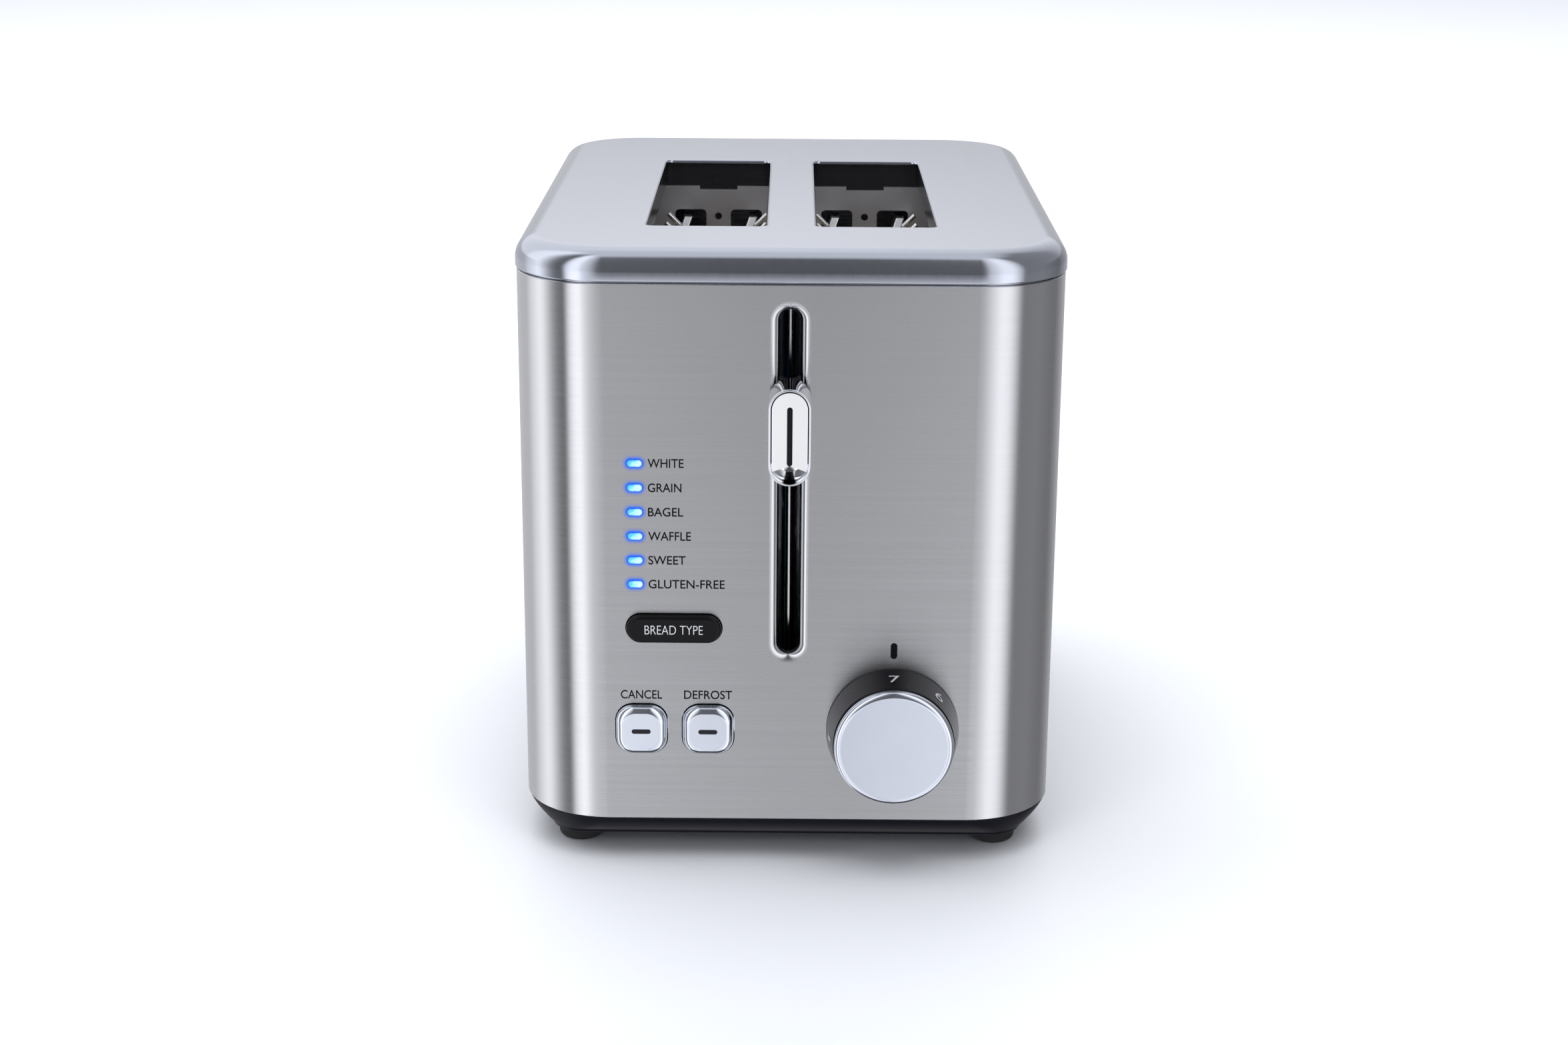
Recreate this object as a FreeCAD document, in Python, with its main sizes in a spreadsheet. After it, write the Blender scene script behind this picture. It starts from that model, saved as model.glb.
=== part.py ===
import FreeCAD, Part

import math
import os
from types import SimpleNamespace

import Sketcher
from FreeCAD import Vector

# A two-slice pop-up toaster: steel body and cover on a black base, controls on the front end.
# Every shape is drawn about the middle of the body: X to the right, Y to the back, Z up from
# the surface that the feet stand on.  frame_shift then moves the whole toaster along Y, so that
# the origin is under the middle of its overall box, with the knob and the tray handle counted.

os.makedirs("parts", exist_ok=True)
doc = FreeCAD.newDocument("pop_up_toaster")

# ---- driving dimensions, millimetres -------------------------------------------------------

DIMENSIONS = [
    ("body_width", 172.0, "cover, left to right"),
    ("body_depth", 240.0, "cover, front to back"),
    ("cover_top", 199.2, "flat top above the table"),
    ("seam_height", 189.0, "joint between the cover and the body"),
    ("seam_gap", 0.6, "open joint"),
    ("steel_bottom", 14.5, "lower edge of the steel body"),
    ("base_bottom", 5.3, "underside of the base"),
    ("corner", 29.0, "corner radius of the cover seen from above"),
    ("cover_edge", 7.0, "rolled edge round the top"),
    ("cover_lap", 0.4, "cover stands out from the body"),
    ("cover_wall", 1.2, "cover sheet"),
    ("tongue_wall", 1.0, "cover's tongue inside the body"),
    ("tongue_drop", 3.8, "tongue below the joint"),
    ("tongue_rise", 1.5, "tongue inside the cover"),
    ("seat_rise", 0.3, "tongue's seat above the cover's lower edge"),
    ("seat_inset", 0.6, "tongue's seat set in from the body"),
    ("wall", 1.0, "body sheet"),
    ("front_reach", 16.0, "lever and knob stand out from the front"),
    ("rear_reach", 6.0, "tray handle stands out from the back"),
    ("slot_inner", 8.0, "slot edge nearer the middle"),
    ("slot_outer", 45.87, "slot edge nearer the side"),
    ("slot_front", -77.5, "front end of the slots"),
    ("slot_rear", 57.8, "rear end of the slots"),
    ("slot_corner", 2.5, "corner radius of the slots"),
    ("slot_roll", 0.9, "rounded lip of the slots"),
    ("collar_wall", 1.6, "black collar under each slot"),
    ("collar_gap", 0.4, "collar set back from the slot edge"),
    ("well_gap", 0.1, "collar ends clear of the chassis plates"),
    ("collar_bottom", 190.0, "lower edge of the collar's sides"),
    ("apron_bottom", 186.0, "lower edge of the collar's ends"),
    ("plate_wall", 0.8, "chassis sheet"),
    ("plate_half", 66.0, "half width of the chassis plates"),
    ("plate_bottom", 22.5, "underside of the chassis"),
    ("plate_top", 189.7, "upper edge of the chassis plates"),
    ("front_plate", -78.4, "front face of the front chassis plate"),
    ("rear_plate", 57.9, "front face of the rear chassis plate"),
    ("flange", 10.0, "foot flange of a chassis plate"),
    ("rack_slot_low", 36.0, "lower end of the rack slots"),
    ("rack_slot_high", 136.0, "upper end of the rack slots"),
    ("rack_slot_half", 2.5, "half width of the rack slots"),
    ("guide_offset", 13.0, "guide wires from the middle of the slot"),
    ("guide_pivot", 44.0, "height of the guide pivots"),
    ("guide_wire", 0.9, "radius of a guide wire"),
    ("guide_bend", 176.0, "height where the guide wires bend out"),
    ("guide_flare", 5.0, "flare of the guide wires"),
    ("guide_pitch", 19.0, "spacing of the guide wires"),
    ("pivot_wire", 1.1, "radius of the pivot wire"),
    ("tab_low", 173.0, "lower edge of the guide tab windows"),
    ("tab_high", 181.0, "upper edge of the guide tab windows"),
    ("board_offset", 49.0, "outer heater boards from the middle"),
    ("board_wall", 0.8, "heater board"),
    ("ribbon", 0.35, "heating ribbon thickness"),
    ("reflector_offset", 62.0, "inner face of the side reflectors"),
    ("lever_height", 145.2, "middle of the lever, bread up"),
    ("lever_half", 6.45, "half width of the lever face"),
    ("lever_tall", 30.2, "lever face, top to bottom"),
    ("lever_gap", 0.8, "lever clear of the body"),
    ("stem_half", 1.6, "half thickness of the lever stem"),
    ("stem_tall", 12.0, "lever stem, top to bottom"),
    ("track_half", 3.15, "half width of the lever track"),
    ("track_low", 70.9, "lower end of the lever track"),
    ("track_high", 180.8, "upper end of the lever track"),
    ("track_roll", 2.95, "rounded lip of the lever track"),
    ("track_rib", 0.9, "rib behind the track's lip, beyond the rounding"),
    ("track_land", 0.05, "straight edge behind the track's rounding"),
    ("rod_place", -100.0, "guide rod, front to back"),
    ("rod_radius", 2.5, "guide rod"),
    ("rack_height", 101.0, "underside of the bread rack, bread up"),
    ("knob_place", 33.3, "knob, left to right"),
    ("knob_height", 45.2, "knob axis above the table"),
    ("knob_radius", 21.05, "knob skirt at the body"),
    ("knob_neck", 19.1, "knob skirt at the cap"),
    ("cap_radius", 18.8, "knob cap"),
    ("cap_depth", 3.2, "knob cap, front to back"),
    ("cap_roll", 1.6, "rounded edge of the cap"),
    ("shaft_radius", 3.0, "knob shaft"),
    ("button_width", 16.1, "square buttons"),
    ("button_tall", 16.4, "square buttons"),
    ("button_corner", 5.4, "corner radius of the square buttons"),
    ("button_reach", 3.0, "square buttons stand out"),
    ("button_gap", 0.35, "clearance round a button"),
    ("cancel_place", -46.3, "cancel button"),
    ("defrost_place", -25.2, "defrost button"),
    ("button_height", 45.4, "square buttons above the table"),
    ("type_place", -35.85, "bread type button"),
    ("type_height", 79.2, "bread type button above the table"),
    ("type_half", 14.95, "bread type button, half length"),
    ("type_tall", 9.1, "bread type button"),
    ("type_reach", 2.2, "bread type button stands out"),
    ("lens_place", -47.8, "indicator lenses"),
    ("lens_top", 132.7, "height of the top lens"),
    ("lens_pitch", 7.82, "spacing of the lenses"),
    ("lens_half", 2.52, "half length of a lens"),
    ("lens_radius", 1.32, "end radius of a lens"),
    ("lens_gap", 0.05, "clearance round a lens"),
    ("circuit_place", -108.0, "front face of the control board"),
    ("circuit_wall", 1.6, "circuit boards"),
    ("tray_half", 54.0, "half width of the crumb tray"),
    ("tray_floor", 15.2, "underside of the crumb tray"),
    ("tray_tall", 6.8, "crumb tray"),
    ("tray_sheet", 0.8, "crumb tray sheet"),
    ("foot_radius", 7.5, "rubber foot"),
    ("foot_across", 67.5, "feet from the middle, left and right"),
    ("foot_along", 98.0, "feet from the middle, front and back"),
    ("gland_place", 45.0, "cord gland, left to right"),
    ("gland_height", 38.0, "cord gland above the table"),
    ("gland_bore", 3.6, "radius of the hole for a cord"),
    ("power_place", 84.0, "front face of the power board"),
    ("base_corner", 11.8, "corner radius of the underside of the base"),
    ("skirt_inset", 8.4, "underside of the base set in from the body"),
    ("skirt_lap", 0.4, "top of the base's skirt set in from the body"),
    ("spigot_gap", 0.3, "base's spigot and cover's tongue clear of the body"),
    ("spigot_wall", 2.0, "wall of the base's spigot"),
    ("base_floor", 2.2, "floor of the base"),
    ("cavity_inset", 11.0, "hollow of the base set in from the body"),
    ("tray_clear", 1.0, "clearance beside the crumb tray"),
    ("mouth_rise", 0.8, "clearance above the crumb tray"),
    ("mouth_deep", 12.0, "depth of the tray's mouth in the base"),
    ("tray_front", -74.0, "front end of the crumb tray"),
    ("rail_place", 50.0, "tray rails from the middle"),
    ("rail_wide", 3.0, "tray rail"),
    ("rail_gap", 0.3, "crumb tray above its rails"),
    ("post_half", 4.0, "half width of a screw post"),
    ("screw_inset", 3.0, "screws from the chassis edge"),
    ("screw_radius", 1.5, "screw shank"),
    ("screw_hole", 1.7, "radius of a screw hole in the base"),
    ("flange_hole", 1.6, "radius of a screw hole in the chassis"),
    ("head_radius", 3.0, "screw head"),
    ("head_hole", 3.3, "radius of the recess for a screw head"),
    ("head_deep", 1.8, "depth of the recess for a screw head"),
    ("head_sunk", 0.2, "screw head below the underside of the base"),
    ("drive_deep", 1.1, "slot in a screw head"),
    ("drive_half", 0.35, "half width of the slot in a screw head"),
    ("drive_long", 2.0, "half length of the slot in a screw head"),
    ("screw_reach", 5.0, "screw above the chassis flange"),
    ("vent_first", -64.0, "front air slot in the base"),
    ("vent_pitch", 14.0, "spacing of the air slots"),
    ("vent_long", 40.0, "half length of an air slot"),
    ("vent_half", 2.0, "half width of an air slot"),
    ("handle_side", 4.0, "tray handle wider than the tray"),
    ("handle_rise", 3.0, "tray handle above the tray"),
    ("grip_half", 22.0, "half width of the finger hollow"),
    ("grip_wall", 1.8, "handle wall in front of the finger hollow"),
    ("grip_tall", 5.0, "finger hollow"),
    ("top_notch", 6.9, "half width of the notch in a chassis plate's top"),
    ("notch_deep", 1.3, "notch in a chassis plate's top"),
    ("window_inner", 4.5, "guide window's inner end from the slot middle"),
    ("window_outer", 16.0, "guide window's outer end from the slot middle"),
    ("window_corner", 1.6, "corner radius of a guide window"),
    ("pivot_clear", 0.3, "clearance round a guide pivot"),
    ("pilot_hole", 1.3, "radius of the hole between the guide windows"),
    ("pilot_drop", 2.5, "that hole below the top of the windows"),
    ("reflector_wall", 0.6, "side reflector"),
    ("reflector_low", 26.0, "lower edge of a side reflector"),
    ("reflector_high", 186.0, "upper edge of a side reflector"),
    ("louvre_first", 40.0, "lowest louvre in a reflector"),
    ("louvre_pitch", 24.0, "spacing of the louvres"),
    ("louvre_half", 1.5, "half height of a louvre"),
    ("louvre_front", -60.0, "front end of the louvres"),
    ("louvre_rear", 40.0, "rear end of the louvres"),
    ("board_low", 40.0, "lower edge of a heater board"),
    ("board_high", 170.0, "upper edge of a heater board"),
    ("guide_first", -66.0, "front guide wire"),
    ("guide_rail", 168.0, "height of the rail across the guide wires"),
    ("rail_front", -74.0, "front end of the guide rail"),
    ("rail_rear", 54.0, "rear end of the guide rail"),
    ("pivot_reach", 4.0, "guide pivot beyond the chassis plates"),
    ("tab_reach", 5.0, "guide tab beyond the chassis plates"),
    ("tab_wide", 3.0, "guide tab"),
    ("tab_over", 0.4, "guide tab beyond its wire, towards the bread"),
    ("tab_lean", 0.6, "half of the lean of a guide tab"),
    ("tab_rise", 1.0, "guide tab above the bottom of its window"),
    ("tab_drop", 1.8, "guide tab below the top of its window"),
    ("rod_low", 27.0, "lower end of the guide rod"),
    ("rod_high", 187.5, "upper end of the guide rod"),
    ("top_bracket", 184.0, "underside of the guide rod's top bracket"),
    ("low_bracket", 28.0, "underside of the guide rod's lower bracket"),
    ("bracket_wall", 2.0, "guide rod bracket"),
    ("bracket_front", -104.5, "front end of the guide rod brackets"),
    ("bracket_left", -8.0, "left side of the guide rod brackets"),
    ("bracket_flange", 1.2, "flange of a guide rod bracket"),
    ("carriage_back", -93.0, "front face of the carriage plate"),
    ("carriage_sheet", 1.2, "carriage sheet"),
    ("carriage_half", 34.0, "half width of the carriage plate"),
    ("strap_front", -107.2, "front face of the carriage strap"),
    ("strap_half", 6.5, "half width of the carriage strap"),
    ("bush_radius", 4.0, "carriage bush"),
    ("rack_half", 0.75, "half thickness of a bread rack's strip"),
    ("rack_tall", 3.0, "bread rack's strip"),
    ("rack_reach", 6.0, "bread rack beyond the rear chassis plate"),
    ("rung_half", 9.0, "half length of a rung"),
    ("rung_radius", 1.1, "rung"),
    ("rung_rise", 3.6, "rung above the underside of the rack"),
    ("rung_first", -64.0, "front rung"),
    ("rung_pitch", 16.0, "spacing of the rungs"),
    ("spring_across", 20.0, "return spring, left to right"),
    ("spring_place", -98.5, "return spring, front to back"),
    ("coil_radius", 3.2, "return spring's coils"),
    ("coil_wire", 0.55, "return spring's wire"),
    ("magnet_across", -22.0, "electromagnet, left to right"),
    ("magnet_place", -97.65, "electromagnet's leg, front to back"),
    ("magnet_low", 28.2, "underside of the electromagnet"),
    ("lever_rim", 0.75, "rim round the lever's plate"),
    ("lever_sink", 3.7, "pocket for the lever's plate"),
    ("plate_gap", 0.18, "gap round the lever's plate"),
    ("plate_step", 0.25, "lever's plate below the rim"),
    ("cone_fall", 3.2, "fall of the cone at the lever's lower end"),
    ("inlay_half", 0.85, "half width of the lever's black line"),
    ("inlay_tall", 18.2, "lever's black line above the cone"),
    ("inlay_drop", 0.1, "lever's black line below the top of the cone"),
    ("inlay_deep", 0.5, "pocket for the lever's black line"),
    ("inlay_proud", 0.15, "lever's black line above its plate"),
    ("board_corner", 2.0, "corner radius of the circuit boards"),
    ("switch_half", 3.0, "half width of a push switch"),
    ("switch_tall", 1.9, "push switch above its board"),
    ("lamp_half", 1.6, "half length of an indicator lamp"),
    ("lamp_tall", 1.6, "indicator lamp above its board"),
    ("lens_proud", 0.3, "lens out from the body"),
    ("bar_back", 2.0, "light guide in front of the control board"),
    ("bar_front", 4.6, "face of the light guide in front of the control board"),
    ("bar_half", 3.2, "half width of the light guide"),
    ("bar_over", 2.6, "light guide beyond the lens middles"),
    ("frame_front", 1.3, "button frame behind the front face"),
    ("frame_back", 5.0, "back of the button frame behind the front face"),
    ("frame_post", 2.2, "radius of a button frame post"),
    ("flange_lip", 1.2, "flange round a button"),
    ("flange_gap", 0.4, "button flange behind the frame"),
    ("flange_wall", 1.0, "button flange"),
    ("stem_radius", 2.5, "button stem"),
    ("stem_short", 3.6, "button stem in front of the control board"),
    ("button_round", 1.1, "rounded edge of a button"),
    ("window_half", 3.0, "half length of a button's window"),
    ("window_tall", 0.8, "half height and depth of a button's window"),
    ("window_proud", 0.05, "window above its button"),
    ("dial_gap", 0.5, "knob clear of the body"),
    ("dial_wall", 2.0, "wall of the knob's skirt"),
    ("hub_wall", 3.5, "wall and reach of the knob's hub"),
    ("control_half", 8.5, "half width of the browning control"),
    ("control_corner", 2.0, "corner radius of the browning control"),
    ("control_front", 4.0, "browning control behind the front face"),
    ("control_back", 15.5, "back of the browning control behind the front face"),
    ("neck_radius", 4.4, "neck of the browning control"),
    ("neck_hole", 4.6, "radius of the hole for that neck"),
    ("shaft_clear", 0.25, "clearance round the knob shaft"),
    ("shaft_deep", 14.0, "knob shaft behind the front face"),
    ("spacer_radius", 3.0, "power board spacer"),
    ("gland_flange", 9.0, "radius of the gland's outer flange"),
    ("gland_collar", 8.0, "radius of the gland's inner collar"),
    ("gland_neck", 6.0, "radius of the gland in the wall"),
    ("gland_hole", 6.1, "radius of the hole for the gland"),
    ("gland_tall", 4.0, "gland's flange and its collar"),
    ("gland_round", 1.5, "rounded edge of the gland"),
    ("foot_round", 2.2, "rounded edge of a foot"),
    ("tray_reach", 0.3, "crumb tray beyond the body"),
    ("handle_lift", 0.4, "tray handle above the steel's lower edge"),
    ("handle_corner", 3.0, "corner radius of the tray handle"),
    ("handle_round", 1.2, "rounded edge of the tray handle"),
    ("grip_corner", 2.5, "corner radius of the finger hollow"),
    ("top_bracket_right", 28.0, "right end of the guide rod's top bracket"),
    ("low_flange", 8.0, "flange of the guide rod's lower bracket"),
    ("rod_fit", 0.02, "press fit on a rod or a shaft"),
    ("strap_below", 7.2, "lower ear of the strap below the lever's middle"),
    ("strap_above", 5.8, "upper ear of the strap above the lever's middle"),
    ("carriage_below", 4.0, "carriage plate below the racks"),
    ("carriage_above", 7.0, "carriage plate above the lever's middle"),
    ("carriage_corner", 3.0, "corner radius of the carriage plate and its holes"),
    ("carriage_hole", 20.0, "width of a hole in the carriage plate, and its rise above the racks"),
    ("carriage_hole_place", 9.0, "those holes from the middle"),
    ("carriage_hole_top", 2.0, "top of those holes above the lever's middle"),
    ("bush_fit", 0.05, "clearance round a bush in its ear"),
    ("bush_clear", 0.08, "clearance between a bush and the rod"),
    ("bush_below", 3.0, "bush below its ear"),
    ("bush_above", 4.5, "bush above the underside of its ear"),
    ("spring_seat", 0.2, "spring seat above the underside of the racks"),
    ("seat_half", 4.0, "half width of the spring seat"),
    ("stem_corner", 0.8, "corner radius of the lever stem"),
    ("stem_socket", 6.0, "stem inside the lever"),
    ("lever_round", 0.5, "rounded edge of the lever"),
    ("yoke_half", 8.0, "half width of the magnet's yoke"),
    ("yoke_deep", 3.85, "half depth of the magnet's yoke"),
    ("yoke_tall", 1.8, "magnet's yoke"),
    ("leg_half", 2.5, "half width of the magnet's leg"),
    ("leg_deep", 2.85, "half depth of the magnet's leg"),
    ("leg_tall", 17.7, "magnet's leg"),
    ("coil_lift", 0.4, "coil above the yoke"),
    ("coil_top", 14.0, "top of the coil above the yoke"),
    ("coil_half", 7.5, "half width of the magnet's coil"),
    ("coil_front", 7.35, "coil in front of the leg's middle"),
    ("coil_corner", 2.5, "corner radius of the coil"),
    ("coil_fit", 0.1, "clearance between the coil and the leg"),
    ("shelf_half", 10.0, "half width of the magnet's shelf"),
    ("shelf_front", 5.35, "shelf in front of the leg's middle"),
    ("shelf_wall", 1.6, "magnet's shelf"),
    ("armature_rise", 9.0, "armature above the underside of the racks"),
    ("armature_wall", 2.0, "armature"),
    ("circuit_left", -76.0, "left edge of the control board"),
    ("circuit_right", -9.0, "right edge of the control board"),
    ("circuit_low", 34.0, "lower edge of the circuit boards"),
    ("circuit_high", 142.0, "upper edge of the control board"),
    ("lamp_wide", 0.9, "half height of an indicator lamp"),
    ("lens_round", 0.25, "rounded edge of a lens"),
    ("frame_left", -60.5, "left edge of the button frame"),
    ("frame_right", -10.5, "right edge of the button frame"),
    ("frame_bottom", 33.0, "lower edge of the button frame"),
    ("frame_top", 88.0, "upper edge of the button frame"),
    ("frame_corner", 3.0, "corner radius of the button frame"),
    ("frame_inset", 2.5, "button frame posts from its edges"),
    ("dial_web", 2.2, "web of the knob behind its cap"),
    ("power_half", 60.0, "half width of the power board"),
    ("power_top", 112.0, "upper edge of the power board"),
    ("spacer_inset", 6.0, "spacers from the power board's edges"),
    ("relay_left", 14.0, "left side of the relay"),
    ("relay_wide", 20.0, "relay, left to right"),
    ("relay_deep", 16.0, "relay, front to back"),
    ("relay_low", 66.0, "underside of the relay"),
    ("relay_tall", 28.0, "relay"),
    ("winding_left", -46.0, "left side of the transformer"),
    ("winding_wide", 32.0, "transformer, left to right"),
    ("winding_deep", 20.0, "transformer, front to back"),
    ("winding_low", 54.0, "underside of the transformer"),
    ("winding_tall", 28.0, "transformer"),
    ("terminal_left", 26.0, "left side of the mains terminals"),
    ("terminal_wide", 28.0, "mains terminals, left to right"),
    ("terminal_deep", 11.0, "mains terminals, front to back"),
    ("terminal_low", 40.0, "underside of the mains terminals"),
    ("terminal_tall", 12.0, "mains terminals"),
]
LENSES, VENTS, LOUVRES, RUNGS, GUIDE_WIRES, COIL_RINGS = 6, 9, 6, 8, 7, 20

sheet = doc.addObject("Spreadsheet::Sheet", "sizes")
for row, (alias, number, note) in enumerate(DIMENSIONS, start=1):
    sheet.set("A%d" % row, alias)
    sheet.set("B%d" % row, str(number))
    sheet.set("C%d" % row, note)
    sheet.setAlias("B%d" % row, alias)
shift_row = len(DIMENSIONS) + 1
sheet.set("A%d" % shift_row, "frame_shift")
sheet.set("B%d" % shift_row, "=(front_reach - rear_reach) / 2")
sheet.setAlias("B%d" % shift_row, "frame_shift")
doc.recompute()


class Size:
    """A length: its value, and the sheet expression that the model keeps it by."""

    def __init__(self, number, text):
        self.number = number
        self.text = text

    def __add__(self, other):
        return join(self, "+", other)

    def __radd__(self, other):
        return join(other, "+", self)

    def __sub__(self, other):
        return join(self, "-", other)

    def __rsub__(self, other):
        return join(other, "-", self)

    def __mul__(self, other):
        return join(self, "*", other)

    def __rmul__(self, other):
        return join(other, "*", self)

    def __truediv__(self, other):
        return join(self, "/", other)

    def __neg__(self):
        return join(0.0, "-", self)


def as_size(value):
    """A Size as it is, or a plain number made into one."""
    return value if isinstance(value, Size) else Size(float(value), repr(float(value)))


def join(left, sign, right):
    """Two lengths joined by + - * or /, in value and in expression."""
    left, right = as_size(left), as_size(right)
    number = {
        "+": lambda: left.number + right.number,
        "-": lambda: left.number - right.number,
        "*": lambda: left.number * right.number,
        "/": lambda: left.number / right.number,
    }[sign]()
    return Size(number, "(%s %s %s)" % (left.text, sign, right.text))


d = SimpleNamespace(**{
    alias: Size(float(sheet.get(alias)), "sizes.%s" % alias) for alias, number, note in DIMENSIONS
})


def bind(feature, path, size):
    """Keeps a property of a feature at a length, by expression where the sheet gives it."""
    size = as_size(size)
    if "sizes." in size.text:
        feature.setExpression(path, size.text)
    else:
        feature.setExpression(path, repr(size.number))


# ---- outlines: each returns a function that draws one closed outline in a sketch -------------


def fix(sketch, geometry, point, x, y):
    """Holds a point of the sketch at x and y from its origin."""
    for kind, size in (("DistanceX", as_size(x)), ("DistanceY", as_size(y))):
        index = sketch.addConstraint(Sketcher.Constraint(kind, -1, 1, geometry, point, size.number))
        bind(sketch, "Constraints[%d]" % index, size)


def at(x, y):
    """A sketch point from two lengths."""
    return Vector(as_size(x).number, as_size(y).number, 0)


def circle(x, y, radius):
    """A round outline."""
    def draw(sketch):
        hole = sketch.addGeometry(Part.Circle(at(x, y), Vector(0, 0, 1), as_size(radius).number))
        index = sketch.addConstraint(Sketcher.Constraint("Radius", hole, as_size(radius).number))
        bind(sketch, "Constraints[%d]" % index, radius)
        fix(sketch, hole, 3, x, y)
    return draw


def polygon(*corners):
    """A straight-sided outline through corners given as (x, y)."""
    def draw(sketch):
        first = sketch.GeometryCount
        total = len(corners)
        for index, corner in enumerate(corners):
            following = corners[(index + 1) % total]
            sketch.addGeometry(Part.LineSegment(at(*corner), at(*following)))
        for index, corner in enumerate(corners):
            before = first + (index - 1) % total
            sketch.addConstraint(Sketcher.Constraint("Coincident", before, 2, first + index, 1))
            fix(sketch, first + index, 1, *corner)
    return draw


def box(x_low, x_high, y_low, y_high):
    """A rectangle between four lengths."""
    return polygon((x_low, y_low), (x_high, y_low), (x_high, y_high), (x_low, y_high))


def rounded(x_low, x_high, y_low, y_high, radius):
    """A rectangle with rounded corners; the arcs and sides are tangent."""
    def draw(sketch):
        reach = as_size(radius)
        sides = [
            (x_low + reach, y_low, x_high - reach, y_low),
            (x_high, y_low + reach, x_high, y_high - reach),
            (x_high - reach, y_high, x_low + reach, y_high),
            (x_low, y_high - reach, x_low, y_low + reach),
        ]
        centres = [
            (x_high - reach, y_low + reach), (x_high - reach, y_high - reach),
            (x_low + reach, y_high - reach), (x_low + reach, y_low + reach),
        ]
        first = sketch.GeometryCount
        for x_start, y_start, x_end, y_end in sides:
            sketch.addGeometry(Part.LineSegment(at(x_start, y_start), at(x_end, y_end)))
        for index, centre in enumerate(centres):
            whole = Part.Circle(at(*centre), Vector(0, 0, 1), reach.number)
            start = math.radians(-90 + 90 * index)
            sketch.addGeometry(Part.ArcOfCircle(whole, start, start + math.pi / 2))
        for index, (x_start, y_start, x_end, y_end) in enumerate(sides):
            fix(sketch, first + index, 1, x_start, y_start)
            fix(sketch, first + index, 2, x_end, y_end)
        for index, centre in enumerate(centres):
            arc = first + 4 + index
            side, following = first + index, first + (index + 1) % 4
            sketch.addConstraint(Sketcher.Constraint("Coincident", side, 2, arc, 1))
            sketch.addConstraint(Sketcher.Constraint("Coincident", arc, 2, following, 1))
            size = as_size(centre[0])
            rule = Sketcher.Constraint("DistanceX", -1, 1, arc, 3, size.number)
            bind(sketch, "Constraints[%d]" % sketch.addConstraint(rule), size)
    return draw


def stadium(x_low, x_high, y_low, y_high):
    """A slot with round ends, along whichever side is the longer."""
    def draw(sketch):
        wide, tall = as_size(x_high - x_low), as_size(y_high - y_low)
        upright = tall.number > wide.number
        radius = wide / 2 if upright else tall / 2
        if upright:
            x_mid = (x_low + x_high) / 2
            ends = [(x_mid, y_high - radius, 0.0), (x_mid, y_low + radius, math.pi)]
            sides = [
                (x_low, y_high - radius, x_low, y_low + radius),
                (x_high, y_low + radius, x_high, y_high - radius),
            ]
        else:
            y_mid = (y_low + y_high) / 2
            ends = [
                (x_low + radius, y_mid, math.pi / 2), (x_high - radius, y_mid, -math.pi / 2),
            ]
            sides = [
                (x_low + radius, y_low, x_high - radius, y_low),
                (x_high - radius, y_high, x_low + radius, y_high),
            ]
        first = sketch.GeometryCount
        for x_start, y_start, x_end, y_end in sides:
            line = sketch.addGeometry(Part.LineSegment(at(x_start, y_start), at(x_end, y_end)))
            fix(sketch, line, 1, x_start, y_start)
            fix(sketch, line, 2, x_end, y_end)
        for index, (x, y, start) in enumerate(ends):
            whole = Part.Circle(at(x, y), Vector(0, 0, 1), radius.number)
            arc = sketch.addGeometry(Part.ArcOfCircle(whole, start, start + math.pi))
            before, after = first + (index + 1) % 2, first + index
            sketch.addConstraint(Sketcher.Constraint("Coincident", before, 2, arc, 1))
            sketch.addConstraint(Sketcher.Constraint("Coincident", arc, 2, after, 1))
            kind, size = ("DistanceY", as_size(y)) if upright else ("DistanceX", as_size(x))
            rule = Sketcher.Constraint(kind, -1, 1, arc, 3, size.number)
            bind(sketch, "Constraints[%d]" % sketch.addConstraint(rule), size)
    return draw


# ---- pieces --------------------------------------------------------------------------------

SIDES = (("left", -1), ("right", 1))
OUTWARD = {"XY": 1, "XZ": -1, "YZ": 1}   # which way a sketch on the plane faces along its axis
pieces = []
adding = []
cutting = []


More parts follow.
